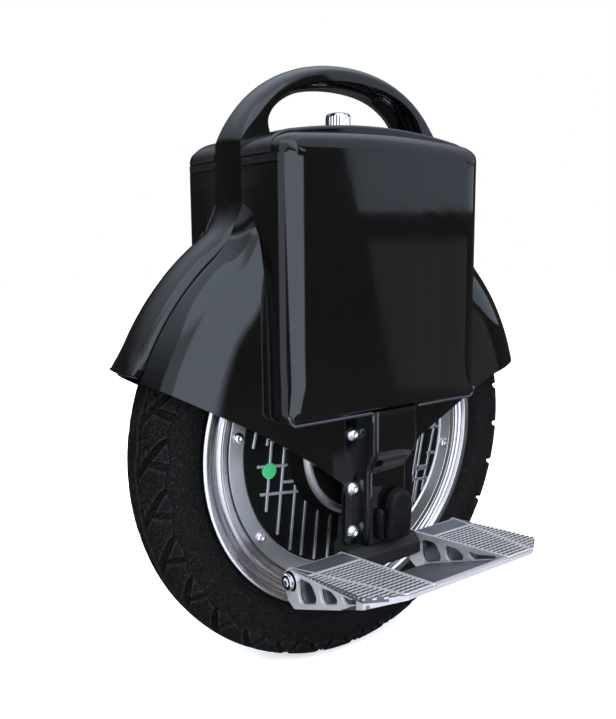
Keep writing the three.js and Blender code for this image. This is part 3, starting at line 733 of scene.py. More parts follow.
GROOVE_HALF, GROOVE_DEPTH = 2.0, 2.2
LOBE_LIFT = ((18.4, 25, 32.7, 36.2, 41, 45.3, 48.5), (21, 21.5, 23, 21, 15, 11, 0))  # across, and up
LOBE_REACH = ((18.4, 30, 46), (27, 24, 20))  # across, and away from the pod
LOBE_ABOVE, GROOVE_ABOVE = 60, 140


def edge_angle(edge):
    """The angle at which a shell's lower edge crosses each radius."""
    line = open_fillet(edge, 14, 6)
    spans = [np.linspace(a, b, 12, endpoint=False) for a, b in zip(line, line[1:])]
    fine = np.vstack(spans + [line[-1:]])
    radius = np.hypot(fine[:, 0], fine[:, 1])
    angle = np.degrees(np.arctan2(fine[:, 1], fine[:, 0]))
    order = np.argsort(radius)
    return radius[order], angle[order]


def lobe(x, z, y):
    """Lifts the shell where it runs up to meet the neck and the pod."""
    lift = np.interp(y, *LOBE_LIFT)
    reach = np.interp(y, *LOBE_REACH)
    front = np.clip(1 - (x - POD_FRONT) / reach, 0, 1.15)
    rear = np.clip(1 - (POD_REAR - x) / reach, 0, 1.15)
    near = np.where(x > 0, front, rear)
    return z + lift * near ** 2.2


def groove_depth(x, y):
    """How deep the groove under the lobe is at a place seen from above."""
    at = np.array([x, y])
    near = GROOVE_HALF
    for p, q in zip(GROOVE, GROOVE[1:]):
        t = min(1.0, max(0.0, float(np.dot(at - p, q - p) / np.dot(q - p, q - p))))
        near = min(near, float(np.linalg.norm(at - p - t * (q - p))))
    return GROOVE_DEPTH * max(0.0, 1 - (near / GROOVE_HALF) ** 2) ** 1.5


def shell_columns():
    """Shares of the way round a shell, closer together where the lobe and the groove lie."""
    spans = ((0, 0.2, 20), (0.2, 0.36, 60), (0.36, 0.68, 30), (0.68, 0.82, 44))
    return np.concatenate([np.linspace(*span, endpoint=False) for span in spans] + [np.linspace(0.82, 1, 20)])


def side_shell():
    line = smooth_curve(SHELL_LINE, 4)
    along = np.gradient(line, axis=0)
    along /= np.linalg.norm(along, axis=1, keepdims=True)
    inward = np.stack([-np.abs(along[:, 1]), -np.abs(along[:, 0])], axis=1)
    inner = line + inward * SHELL_WALL
    inner[:8, 1] = np.maximum(inner[:8, 1], SPINE_HALF + 0.1)
    front_edge, rear_edge = edge_angle(FRONT_EDGE), edge_angle(REAR_EDGE)
    spread = shell_columns()
    rows, columns = len(line), len(spread)
    shape = Shape()
    starts = []
    for profile in (line, inner):
        points = []
        for (radius, y), (edge_radius, _) in zip(profile, line):
            a0, a1 = np.interp(edge_radius, *front_edge), np.interp(edge_radius, *rear_edge)
            if a1 < 0:
                a1 += 360
            for a in np.radians(a0 + (a1 - a0) * spread):
                x, z = radius * math.cos(a), radius * math.sin(a)
                z = float(lobe(x, z, y)) if z > LOBE_ABOVE else z
                cut = groove_depth(abs(x), y) if z > GROOVE_ABOVE and profile is line else 0.0
                points.append((x - cut * 0.4 * math.copysign(1, x), y - 0.3 * cut, z - 0.8 * cut))
        starts.append(shape.add(points, []))
    for start in starts:
        shape.faces.extend(grid_faces(start, rows, columns))
    outer, inside = starts
    for j in range(columns - 1):
        shape.faces.append((outer + j, outer + j + 1, inside + j + 1, inside + j))
    for i in range(rows - 1):
        for j in (0, columns - 1):
            a, b = i * columns + j, (i + 1) * columns + j
            shape.faces.append((outer + a, outer + b, inside + b, inside + a))
    last = (rows - 1) * columns
    tongue = open_fillet(TONGUE, [0, 6, 5, 5, 5, 5, 6, 0], 5)[1:-1]
    rims = []
    for start, y in ((outer, line[-1][1]), (inside, inner[-1][1])):
        rim = shape.add([(x, y, z) for x, z in tongue], [])
        rims.append(rim)
        edge = tuple(range(start + last, start + last + columns))
        shape.faces.append(edge + tuple(range(rim, rim + len(tongue))))
    chain = [(outer + last + columns - 1, inside + last + columns - 1)]
    chain += [(rims[0] + k, rims[1] + k) for k in range(len(tongue))]
    chain += [(outer + last, inside + last)]
    for (a, b), (c, d) in zip(chain, chain[1:]):
        shape.faces.append((a, c, d, b))
    return shape


for side in SIDES:
    side_piece(side, "fender", side_shell(), "gloss_body", "body", "gloss_body", "side_shell",
               sharp=50, bevel=0.7)


# ---- pods and their lids
POD_OUTER = 68.0
POD_INNER = 18.6
POD_BOTTOM = 32.5
POD_NOSE, POD_ROUND = 22.0, 13.0  # upright corners, along and across
POD_MIDDLE = (POD_FRONT + POD_REAR) / 2
LID_TOP = 236.9
SHELL_REACH = 189.5  # beyond it a pod starts at the spine, and within it at the shell
POD_WALL = 2.4
SEAM_Y = 54.6
SEAM_Z = 214.0
SEAM_DEPTH = 1.5
SEAM_LINES = (0.2, 0.9, 6.2, 6.9)  # edges of the two grooves, below SEAM_Z


def pod_top_line():
    """From the front seam round the front corner, over the top and down to the rear seam."""
    corner = (POD_FRONT - 17, 227.6)
    front = bezier((POD_FRONT, SEAM_Z), (POD_FRONT - 0.4, 222), (POD_FRONT - 6, 226.2), corner, 9)
    top = quadratic(corner, (POD_MIDDLE + 36, 231), (POD_MIDDLE, 231), 14)[1:]
    half = np.vstack([front, top])
    mirror = np.stack([2 * POD_MIDDLE - half[:, 0], half[:, 1]], axis=1)[::-1][1:]
    return np.vstack([half, mirror])


def shell_surface(radius):
    line = np.array(SHELL_LINE)[::-1]
    return float(np.interp(radius, line[:, 0], line[:, 1]))


def pod_cover():
    top = pod_top_line()
    corner = [(POD_FRONT - 0.6, 60), (POD_FRONT, POD_BOTTOM), (60, POD_BOTTOM)]
    low_front = open_fillet(corner, [0, 9, 0], 5)[1:]
    low_rear = low_front[::-1] * (-1, 1) + (POD_FRONT + POD_REAR, 0)
    face = [(POD_FRONT, SEAM_Z - z) for z in (0.2, 0.9, 1.1, 6.0, 6.2, 6.9, 7.1)]
    face += [(POD_FRONT, z) for z in (200, 190, 178, 165, 150, 135, 118, 100, 80, 60)]
    rear_face = [(POD_REAR + POD_FRONT - x, z) for x, z in face][::-1]
    bottom = [(x, POD_BOTTOM) for x in np.linspace(low_front[-1][0] - 12, low_rear[0][0] + 12, 9)]
    outline = np.vstack([face, low_front, bottom, low_rear, rear_face, top[::-1][1:-1]])
    x, z = outline.T
    share = 0.22 + 0.78 * ease(z, POD_BOTTOM, POD_BOTTOM + 16) - 0.45 * ease(z, 212, 229)
    in_lid = z > SEAM_Z - 0.5
    seam = np.isin(np.round(SEAM_Z - z, 3), SEAM_LINES)
    start_y = np.array([POD_INNER if r > SHELL_REACH else shell_surface(r) - 1.2 for r in np.hypot(x, z)])
    inward = -left_normals(outline)

    def row(y, inset):
        moved = outline + inward * inset[:, None]
        return [(u, w, v) for (u, v), w in zip(moved, np.broadcast_to(y, x.shape))]

    rows = []
    for y, in_groove in ((start_y, False), (SEAM_Y - 0.9, False), (SEAM_Y - 0.7, True), (SEAM_Y, True),
                         (SEAM_Y + 0.2, False)):
        rows.append(row(y, np.where(seam | (in_lid & in_groove), SEAM_DEPTH, 0.0)))
    for degrees in (0, 8, 16, 24, 32, 40, 50, 60, 70, 80, 90):
        a = math.radians(degrees)
        inset = POD_NOSE * (1 - math.cos(a)) * share + SEAM_DEPTH * seam * max(0.0, 1 - degrees / 30)
        rows.append(row(POD_OUTER - POD_ROUND * (1 - math.sin(a)), inset))
    return loft(rows, first_cap=False)


def pod_lid():
    base = pod_top_line()
    u = np.abs(base[:, 0] - POD_MIDDLE) / (POD_FRONT - POD_MIDDLE)
    proud = 0.7 + 5.2 * np.clip(1 - u ** 2.2, 0, 1) * (base[:, 1] > 226)
    proud = np.convolve(np.pad(proud, 4, mode="edge"), np.ones(9) / 9, mode="valid")
    tangent = np.gradient(base, axis=0)
    normal = np.stack([tangent[:, 1], -tangent[:, 0]], axis=1)
    normal /= np.linalg.norm(normal, axis=1, keepdims=True)
    outer = base + normal * proud[:, None]
    outer[:, 1] = np.minimum(outer[:, 1], LID_TOP)
    inner = base - normal * 1.2
    loop = np.vstack([outer, inner[::-1]])
    share = np.concatenate([np.clip(proud / 3.0, 0.25, 1), np.zeros(len(base))])
    levels = [(POD_INNER, 0.0)]
    for degrees in (0, 22, 45, 67, 90):
        a = math.radians(degrees)
        levels.append((SEAM_Y - 0.8 - 3.2 * (1 - math.sin(a)), 2.6 * (1 - math.cos(a))))
    return plate([loop], levels, side_view, [share])


def tube(path, radius, count=12):
    """A round bar along a path of [x, y, z], with its ends rounded off."""
    path = np.asarray(path, float)
    along = np.gradient(path, axis=0)
    along /= np.linalg.norm(along, axis=1, keepdims=True)
    guide = np.array([0.0, 1.0, 0.0])
    last = len(path) - 1
    steps = [(0, 0.3, -0.9), (0, 0.75, -0.6), (0, 1.0, 0)] + [(k, 1.0, 0) for k in range(1, last)]
    steps += [(last, 1.0, 0), (last, 0.75, 0.6), (last, 0.3, 0.9)]
    rings = []
    for k, share, shift in steps:
        side_way = guide - along[k] * np.dot(guide, along[k])
        side_way /= np.linalg.norm(side_way)
        third = np.cross(along[k], side_way)
        centre = path[k] + along[k] * shift * radius
        rings.append([centre + radius * share * (math.cos(a) * side_way + math.sin(a) * third)
                      for a in np.linspace(0, 2 * math.pi, count, endpoint=False)])
    return loft(rings)


def pod_bead():
    """The lip along the bottom of a pod, in front of the leg's channel and behind it."""
    radius, y, z = 1.25, POD_OUTER - 2.3, POD_BOTTOM + 0.9
    front = [(POD_FRONT - 4.5, POD_BOTTOM + 7), (POD_FRONT - 7.5, z), (18.6, z), (18.6, 27)]
    front = open_fillet(front, [0, 5, 2.5, 0], 6)
    rear = open_fillet([(POD_REAR + 4.5, POD_BOTTOM + 7), (POD_REAR + 7.5, z), (-27, z)], [0, 5, 0], 6)

    def bulge(way_in):
        return 1.2 * min(1, max(0, way_in / 9))

    shape = tube([(x, y + bulge(POD_FRONT - 5 - x), z) for x, z in front], radius)
    shape.join(tube([(x, y + bulge(x - POD_REAR - 5), z) for x, z in rear], radius))
    return shape


for side in SIDES:
    # the lip's lighter grey is a painted highlight along the pod's lower edge
    side_piece(side, "pod_lip", pod_bead(), "lip_highlight_web_shade", "body", "gloss_body")
    pod = side_piece(side, "pod", pod_cover(), "gloss_body", "body", "gloss_body", "pod_cover", sharp=40)
    wall = pod.modifiers.new("wall", "SOLIDIFY")
    wall.thickness = POD_WALL * MM
    wall.offset = -1
    wall.use_even_offset = False
    pod.modifiers.move(len(pod.modifiers) - 1, 0)
    side_piece(side, "lid", pod_lid(), "gloss_body", "body", "gloss_body", "pod_lid")


# ---- legs: channel, bumper, bolts
CHANNEL_TOP_Y, CHANNEL_LOW_Y, CHANNEL_BACK_Y = 68, 60, 48.4


def leg_channel():
    """The cable duct, shallower and narrower below the pod."""
    spans = ((33.5, 8, 5), (5, -16, 14), (-22, -69.6, 8))
    heights = np.concatenate([np.linspace(*span) for span in spans] + [[-70.6, -71]])
    rings = []
    for z in heights:
        low = float(ease(5 - z, 0, 20))
        deep = CHANNEL_TOP_Y + (CHANNEL_LOW_Y - CHANNEL_TOP_Y) * low
        rear, front = -26 + 4 * low, 18 - 1 * low
        edge = 0.6 if z > -70 else (1.0 if z > -70.8 else 1.8)
        face = deep - edge + 0.6
        section = [(rear - 1.5, CHANNEL_BACK_Y), (rear, face), (front, face), (front + 1.5, CHANNEL_BACK_Y)]
        rings.append([(x, y, z) for x, y in open_fillet(section, [0, 5.5, 5.5, 0], 6)])
    return loft(rings)


def leg_bumper():
    """A soft lump with a roll down its front and a ring moulded on its face."""
    top, foot = (2.4, -41), (-18.5, -67.5)
    rear_line = smooth_curve([
        top, (-1.5, -32.5), (-9.5, -29.2), (-17, -32.5), (-20.5, -40), (-20.6, -50), (-19.6, -60), foot], 4)
    front_line = smooth_curve([foot, (-8, -69), (3.2, -67.5), (3.6, -58), (2.4, -50), top], 4)[1:-1]
    shape = plate([np.vstack([rear_line, front_line])], rounded_levels(58.5, 69.4, 4.0, 4)[4:])
    roll = smooth_curve([
        (4.0, -44), (7.2, -43), (9.6, -47), (9.8, -56), (9.0, -66), (6.0, -67.5), (3.2, -66), (3.0, -52),
        (4.0, -44),
    ], 4)[:-1]
    shape.join(plate([roll], rounded_levels(58.5, 65.5, 2.6, 3)[3:]))
    ring = [(6.4, 68.8), (8.8, 68.8), (9.2, 69.3), (8.8, 69.5), (6.8, 69.5), (6.2, 69.2)]
    shape.join(lathe(ring, 40, centre=(-9.3, 0, -40)))
    return shape


def polar_loft(rings, axis, centre, count=24):
    """Rings of [along, radius, sides]; sides 0 is round."""
    skin = []
    for along, radius, sides in rings:
        points = []
        for k in range(count):
            angle = 2 * math.pi * k / count
            reach = radius
            if sides:
                sector = 2 * math.pi / sides
                reach = radius * math.cos(sector / 2) / math.cos((angle % sector) - sector / 2)
            points.append(on_axis(axis, centre, reach, angle, along))
        skin.append(points)
    return loft(skin)


def fastener(rings, x, y, z):
    return polar_loft([(y + along, radius, sides) for along, radius, sides in rings], "y", (x, 0, z))


DOME_BOLT = [
    (-1.5, 3.0, 0), (0, 3.0, 0), (0, 5.5, 0), (0.7, 5.6, 0), (1.6, 5.1, 0), (2.8, 3.9, 0), (3.4, 2.9, 0),
    (3.4, 2.3, 6), (1.8, 2.2, 6),
]
PAN_SCREW = [
    (-1.0, 2.4, 0), (0, 2.4, 0), (0, 3.9, 0), (0.9, 4.0, 0), (1.8, 3.6, 0), (2.2, 2.6, 0), (2.2, 1.9, 6),
    (0.9, 1.8, 6),
]
LEG_BOLT_X, LEG_BOLT_ZS = 23.0, (15.0, -27.0, -61.0)
for side in SIDES:
    side_piece(side, "channel", leg_channel(), "gloss_body", "body", "gloss_body", "leg_channel", sharp=50)
    side_piece(side, "bumper", leg_bumper(), "bumper_rubber", "body", "bumper_rubber", "leg_bumper")
    side_piece(side, "bumper_screw", fastener(DOME_BOLT, -15.5, 59.0, -46.0), "bright_fasteners", "body",
               "bright_fasteners")
    for k, z in enumerate(LEG_BOLT_ZS, 1):
        side_piece(side, f"bolt_{k}", fastener(DOME_BOLT, LEG_BOLT_X, 49.1, z), "bright_fasteners", "body",
                   "bright_fasteners", f"leg_bolt_{k}")


# ---- deck fittings
CAP_X, BUTTON_X = -2.0, -50.0


def knurled_loft(rings, teeth, depth, centre):
    """Rings of [z, radius, share of the knurl]."""
    outline = (0, 0.35, 0.9, 1, 0.9, 0.35)  # of one tooth
    count = teeth * len(outline)
    skin = []
    for z, radius, share in rings:
        points = []
        for k in range(count):
            angle = 2 * math.pi * k / count
            reach = radius - depth * share * (1 - outline[k % len(outline)])
            points.append((centre + reach * math.cos(angle), reach * math.sin(angle), z))
        skin.append(points)
    return loft(skin)


mesh_piece("charge_collar", lathe([
    (7.6, 226), (10.4, 226), (10.9, 228.8), (10.9, 232.6), (10.3, 233.8), (8.6, 234.0), (7.8, 233.4),
], 72, True, "z", (CAP_X, 0, 0)), "chrome_trim", "body", "chrome_trim", ["charge_socket"])
mesh_piece("charge_cap_knob", knurled_loft([
    (234.5, 8.4, 0), (234.5, 9.0, 0), (235.2, 9.5, 0), (236.6, 9.6, 0), (237.4, 9.7, 1), (249.2, 9.7, 1),
    (250.2, 9.5, 0), (251.6, 9.1, 0), (252.3, 8.2, 0), (252.5, 7.2, 0), (252.1, 6.6, 0), (252.1, 1.5, 0),
], 26, 0.7, CAP_X), "chrome_trim", "charge_cap", "chrome_trim", ["charge_cap"])
mesh_piece("button_collar", lathe([
    (4.9, 226), (8.4, 226), (8.5, 228.6), (8.1, 236), (7.5, 240.2), (6.9, 241.0), (5.6, 241.0), (4.9, 240.4),
], 64, True, "z", (BUTTON_X, 0, 0)), "chrome_trim", "body", "chrome_trim", ["button_bezel"])
mesh_piece("button_dome", lathe([
    (0, 231.6), (4.4, 231.6), (4.5, 232), (4.5, 241.8), (4.2, 243.0), (3.3, 244.0), (1.8, 244.5), (0, 244.6),
], 48, False, "z", (BUTTON_X, 0, 0)), "chrome_trim", "power_button", "chrome_trim", ["power_button"])


# ---- tyre
TYRE_R = 177.0
TYRE_LINE = [(TYRE_R, 0), (176.5, 7), (173.2, 16.3), (168.6, 21.3), (163.3, 24.4), (157, 25.7), (151, 26),
             (145, 25.2), (140, 23.3), (136.4, 20.2), (133.9, 17.6)]
TYRE_INSIDE = [
    (131.5, 16.2), (130.2, 14.0), (131, 11.5), (138, 15.5), (151, 20.5), (163, 16.5), (169, 8), (170.5, 0)]
TREAD_DEPTH = 3.4
PITCHES = 30  # of the tread's pattern, round the tyre
PITCH_COLUMNS = 30
TREAD_PITCH = 2 * math.pi * TYRE_R / PITCHES
TREAD_EDGE = 30.5


def segment_distance(p, q, a, b):
    """Distance from points (p, q) to the segment a-b, and how far along it they lie."""
    ax, ay, bx, by = *a, *b
    length = (bx - ax) ** 2 + (by - ay) ** 2
    t = np.clip(((p - ax) * (bx - ax) + (q - ay) * (by - ay)) / length, 0, 1)
    return np.hypot(p - ax - t * (bx - ax), q - ay - t * (by - ay)), t


# start and end as (along one pitch, across), half width at each, share of the depth
GROOVES = [
    ((0, 7.2), (TREAD_PITCH * 0.55, 9.4), 1.35, 1.35, 1.0),
    ((TREAD_PITCH * 0.55, 9.4), (TREAD_PITCH, 7.2), 1.35, 1.35, 1.0),
    ((1, 8.0), (12, 16), 1.9, 2.2, 1.0), ((12, 16), (27, 27.0), 2.1, 1.4, 1.0),
    ((12, 16), (8.4, 34), 1.9, 2.6, 1.0), ((27, 27), (31, 34), 1.4, 2.0, 0.8),
    ((20, 12.5), (22.5, 14.5), 0.55, 0.55, 0.5), ((22.5, 14.5), (22, 17), 0.55, 0.55, 0.5),
    ((22, 17), (19.6, 17.3), 0.55, 0.55, 0.5),
]


def tread_depth(t, s):
    """How deep the tread is cut at t along one pitch and s across it, from 0 to 1."""
    a = np.abs(s)
    t = np.where(s < 0, (t + TREAD_PITCH / 2) % TREAD_PITCH, t)
    deep = np.zeros(np.broadcast(t, s).shape)
    for start, end, half0, half1, share in GROOVES:
        for shift in (-TREAD_PITCH, 0, TREAD_PITCH):
            d, along = segment_distance(t + shift, a, start, end)
            half = half0 + (half1 - half0) * along
            deep = np.maximum(deep, share * np.clip((half + 0.45 - d) / 0.9, 0, 1))
    zig = 2.2 * (2 * np.abs(2 * ((t / TREAD_PITCH) % 1) - 1) - 1)
    deep = np.maximum(deep, 0.45 * np.clip((0.95 - np.abs(s - zig)) / 0.6, 0, 1))
    edge = TREAD_EDGE + 1.6 * np.sin(2 * math.pi * (t / TREAD_PITCH - 0.15))
    shoulder = np.clip((a - edge) / 1.4, 0, 1) * np.clip((46 - a) / 12, 0, 1)
    return np.maximum(deep * np.clip((edge + 3.5 - a) / 3, 0, 1), 0.55 * shoulder)


def tyre():
    half = smooth_curve(TYRE_LINE, 8)
    line = np.vstack([half[::-1] * (1, -1), half[1:]])
    s = np.concatenate([[0], np.cumsum(np.hypot(*np.diff(line, axis=0).T))])
    s -= s[-1] / 2
    side = np.linspace(37.0, s[-1], 13)
    rows = np.concatenate([-side[::-1], np.arange(-35.2, 35.3, 1.1), side])
    r = np.interp(rows, s, line[:, 0])
    y = np.interp(rows, s, line[:, 1])
    dr, dy = np.gradient(r, rows), np.gradient(y, rows)
    size = np.hypot(dr, dy)
    normal = np.stack([dy / size, -dr / size], axis=1)
    columns = PITCHES * PITCH_COLUMNS
    t = (np.arange(columns) % PITCH_COLUMNS) * TREAD_PITCH / PITCH_COLUMNS
    moulded = 0.35 * (np.exp(-((r - 142) / 0.9) ** 2) + np.exp(-((r - 138) / 0.9) ** 2))
    deep = tread_depth(t[None, :], rows[:, None]) * TREAD_DEPTH - moulded[:, None]
    radius = np.minimum(r[:, None] - deep * normal[:, :1], TYRE_R)
    across = y[:, None] - deep * normal[:, 1:]
    inside = TYRE_INSIDE + [(q, -w) for q, w in TYRE_INSIDE[-2::-1]]
    radius = np.vstack([radius] + [np.full((1, columns), q) for q, _ in inside])
    across = np.vstack([across] + [np.full((1, columns), w) for _, w in inside])
    angle = 2 * math.pi * np.arange(columns) / columns
    points = np.stack([radius * np.cos(angle), across, radius * np.sin(angle)], axis=-1).reshape(-1, 3)
    shape = Shape()
    shape.add(points, grid_faces(0, len(radius), columns, wrap_columns=True, wrap_rows=True))
    return shape


mesh_piece("tyre_carcass", tyre(), "tyre_rubber", "wheel", "tyre_rubber", ["tyre"],
           sharp=32, flat_faces=False)


# ---- rim
def rim():
    half = [
        (124.2, 8), (127.6, 14.6), (129.6, 16.6), (132.4, 17.5), (133.5, 18.3), (133.6, 19.4), (133.0, 20.5),
        (131.6, 20.95), (129.2, 21.0), (127.4, 20.5), (126.4, 19.3), (125.6, 17.9), (124.2, 17.3),
        (122.6, 17.1), (122.0, 16.4), (121.0, 16.1), (120.2, 16.5), (119.6, 17.2), (117.8, 17.4),
        (117.4, 16.9), (116.6, 16.9), (116.2, 17.4), (112.9, 17.5), (112.2, 17.0),
    ]
    return lathe(half + [(r, -y) for r, y in half[::-1]], 240)


mesh_piece("rim_ring", rim(), "polished_rim", "wheel", "polished_rim", ["rim"], sharp=30)


# ---- motor covers
COVER_TURN = 0.112  # lean of the ribs' pattern, as a slope
RIB_HALF, WIDE_RIB_HALF = 1.35, 2.4
RIB_BASE = 16.4
UPRIGHTS = [  # x and two heights
    (76, -42, 12), (64, -62, 40), (51, -77, -25), (40, -86, -8), (27, -92, -42), (14, -95, -53),
    (3, -96, -60),
]
CROSSBARS = [(-16, 61, 88), (-29, 41, 65), (-37.3, 51, 86)]  # height and two xs
REAR_RIBS = [
    ((-96.5, 14), (-78.5, -58)), ((-88, 38), (-66, -74)), ((-78, 8), (-63, -66)), ((-74, -46), (-70, -66)),
    ((-80, 12), (-97, 11)), ((-84, -2), (-97, -3)), ((-84, -24.6), (-97, -26)), ((-68, -35.6), (-84, -37)),
    ((-68, -45.6), (-92, -47.4)),
]
WIDE_RIB = 7  # its place in REAR_RIBS


def clipped(p, q, floor_z):
    """The part of segment p-q in the cover's black recess and above a height, if it's long enough."""
    line = np.linspace(p, q, 200)
    radius = np.hypot(line[:, 0], line[:, 1])
    good = np.flatnonzero((radius > 57.0) & (radius < 97.4) & (line[:, 1] > floor_z))
    return (line[good[0]], line[good[-1]]) if len(good) > 7 else None


def rib(p, q, half, high):
    along = unit(np.asarray(q) - p)
    across = np.array([-along[1], along[0]]) * half
    outline = fillet([p - across, q - across, q + across, p + across], half * 0.7, 3)
    return plate([outline], [(RIB_BASE, 0), (high - 0.7, 0), (high - 0.2, 0.2), (high, 0.6)])


def cover_ribs():
    """The pattern and its half-turn copy, of which only the part above the first is kept."""
    shape = Shape()
    lines = []
    for x, z0, z1 in UPRIGHTS:
        lines.append(((x - COVER_TURN * z0, z0), (x - COVER_TURN * z1, z1), RIB_HALF, 18.62))
    for z, x0, x1 in CROSSBARS:
        lines.append(((x0, z + COVER_TURN * x0), (x1, z + COVER_TURN * x1), RIB_HALF, 18.7))
    for k, (p, q) in enumerate(REAR_RIBS):
        lines.append((p, q, WIDE_RIB_HALF if k == WIDE_RIB else RIB_HALF, 18.65))
    for p, q, half, high in lines:
        for turn, floor_z in ((1, -200), (-1, 8 if p[0] < 0 else 34)):
            kept = clipped(np.array(p) * turn, np.array(q) * turn, floor_z)
            if kept:
                shape.join(rib(*kept, half, high))
    return shape


def sticker():
    disc = [(0, 17.2), (5.8, 17.2), (6.0, 19.0), (5.5, 19.25), (0, 19.3)]
    return lathe(disc, 40, closed=False, centre=(77.5, 0, -10.7))


FLANGE = [
    (98.6, 15.5), (111.0, 15.5), (111.6, 16.2), (111.6, 18.3), (111.0, 18.8), (100.2, 18.8), (99.4, 18.4),
    (98.6, 17.4),
]
RECESS = [
    (11.8, 13.8), (110.5, 13.8), (110.5, 15.8), (98.2, 17.3), (96.5, 17.1), (63.5, 17.0), (61.2, 17.8),
    (59.4, 19.8), (54.6, 32.2), (53.8, 33.2), (50.2, 33.4), (49.0, 32.8), (18.0, 32.6), (16.4, 33.6),
    (13.0, 33.8), (11.8, 33.0),
]
HUB_RING = [
    (49.6, 32.0), (53.2, 31.6), (55.4, 30.4), (55.8, 31.4), (54.4, 33.6), (52.6, 34.9), (50.8, 34.9),
    (49.6, 34.0),
]
COVER_SCREWS, SCREW_CIRCLE = 8, 105
for side in SIDES:
    side_piece(side, "cover_flange", lathe(FLANGE, 240), "cast_cover", "wheel", "cast_cover", "motor_cover")
    side_piece(side, "cover_recess", lathe(RECESS), "recess_paint", "wheel", "cast_cover", "motor_cover")
    side_piece(side, "hub_ring", lathe(HUB_RING, 160), "cast_cover", "wheel", "cast_cover")
    side_piece(side, "cover_ribs", cover_ribs(), "cast_cover", "wheel", "cast_cover")
    side_piece(side, "cover_sticker", sticker(), "green_sticker", "wheel", "cast_cover")
    for k in range(COVER_SCREWS):
        x, z = polar(SCREW_CIRCLE, 10 + 360 / COVER_SCREWS * k)
        side_piece(side, f"screw_{k + 1}", fastener(PAN_SCREW, x, 18.8, z), "bright_fasteners", "wheel",
                   "bright_fasteners", f"cover_screw_{k + 1}", flat_faces=False)


# ---- footrests
PEDAL_HALF = 84.0
GAP_HALF = 35.0
CHEEK = 3.0  # thickness
CHEEKS = [(x, x + CHEEK) for x in (-PEDAL_HALF, -GAP_HALF - CHEEK, GAP_HALF, PEDAL_HALF - CHEEK)]
HINGE = (0, 54.0, -82.0)
CORNER_Y, CORNER_X = 134.0, 60.0  # where the outer corners' cut starts and ends
RIDGE_PITCH, RIDGE_HEIGHT = 4.2, 2.1


def pedal_top(y):
    return -73 + (y - 50) * 0.112


def pedal_foot(y):
    return -103 + (y - 55) * 0.388


def reshaped(shape, move):
    shape.points = [move(*p) for p in shape.points]
    return shape


def cheek_window(top, foot, radii):
    """A window in a cheek. Each corner is (y, distance from the footrest's top or foot)."""
    corners = [(y, pedal_top(y) - drop) for y, drop in top] + [(y, pedal_foot(y) + lift) for y, lift in foot]
    return fillet(corners, radii, 5)


CHEEK_WINDOWS = [
    ([(62, 5), (78, 5)], [(85, 8), (83, 4), (67, 3.6), (63.6, 9)], [5, 6, 4, 3.5, 4, 6]),
    ([(88, 5), (101, 5)], [(108, 7), (106, 3.8), (93, 3.6), (89.4, 8)], [4.5, 6, 3.5, 3, 3.5, 5]),
    ([(112.5, 4.6), (121, 5)], [(139, 5.4), (136, 3.6), (117, 3.8), (113, 7)], [3, 9, 1, 1, 3.5, 4]),
]


def cheek(x0, x1):
    outline = fillet([
        (46.4, -77.5), (50.5, pedal_top(50.5)), (149.4, pedal_top(149.4)), (149.4, pedal_foot(149.4)),
        (110, pedal_foot(110) - 0.2), (58, pedal_foot(58)), (50.6, -98), (46.4, -88),
    ], [5, 4, 1.2, 1.2, 40, 4, 6, 6], 5)
    windows = [cheek_window(*window) for window in CHEEK_WINDOWS]
    return plate([outline, *windows], rounded_levels(x0, x1, 0.7, 2), front_view)


def plan_plate(outline, low, high):
    """A plate in plan whose underside and top follow the footrest's two slopes."""
    shape = plate([outline], rounded_levels(0, 10, 0.6, 2), top_view)

    def move(x, y, w):
        return (x, y, low(y) + (high(y) - low(y)) * w / 10)

    return reshaped(shape, move)


def tread_pad(x0, x1):
    """A top plate whose outer part is cut into rows of ridges, with notches along them."""
    first_row = 75.6
    row_starts = np.arange(first_row, 146.4, RIDGE_PITCH)
    ridge_rows = np.concatenate([
        [52.3, 53.0], np.linspace(55, 74.4, 6),
        *[[y, y + 0.3, y + 1.3, y + 2.3, y + 2.6, y + 3.4] for y in row_starts], [147.6, 149.0, 149.6]])
    notch_starts = np.arange(x0 + 1.0, x1 - 2.8, RIDGE_PITCH)
    columns = np.concatenate([
        [x0, x0 + 0.35], *[[x, x + 0.4, x + 2.4, x + 2.8] for x in notch_starts], [x1 - 0.35, x1]])

    def crest(value, start, slope, width):
        phase = (value - start) % RIDGE_PITCH
        return np.clip(np.minimum(phase / slope, (width - phase) / slope), 0, 1)

    def height_at(x, y):
        base = pedal_top(y) - 0.2
        if y < 53 or y > 148.8:
            return base - 0.5
        if y < 75.4 or y > 147:
            return base - 0.1
        notch = 0.9 + 0.1 * crest(x, x0 + 1.0, 0.4, 2.8)
        return base - 1.9 + RIDGE_HEIGHT * crest(y, first_row, 0.3, 2.6) * notch

    shape = Shape()
    top, low = [], []
    rows, count = len(ridge_rows), len(columns)
    for y in ridge_rows:
        cut = max(0, y - CORNER_Y) * 1.5
        start, limit = x0 + cut * (x0 < 0), x1 - cut * (x1 > 0)
        row = np.clip(columns, start + 0.01 * np.arange(count), limit - 0.01 * np.arange(count)[::-1])
        top += [(x, y, height_at(x, y)) for x in row]
        low += [(x, y, pedal_top(y) - 4) for x in row]
    first, second = shape.add(top, []), shape.add(low, [])
    shape.faces.extend(grid_faces(first, rows, count))
    shape.faces.extend(grid_faces(second, rows, count))
    edges = [(i * count + j, (i + 1) * count + j) for i in range(rows - 1) for j in (0, count - 1)]
    edges += [(i * count + j, i * count + j + 1) for j in range(count - 1) for i in (0, rows - 1)]
    shape.faces.extend((first + a, first + b, second + b, second + a) for a, b in edges)
    return shape


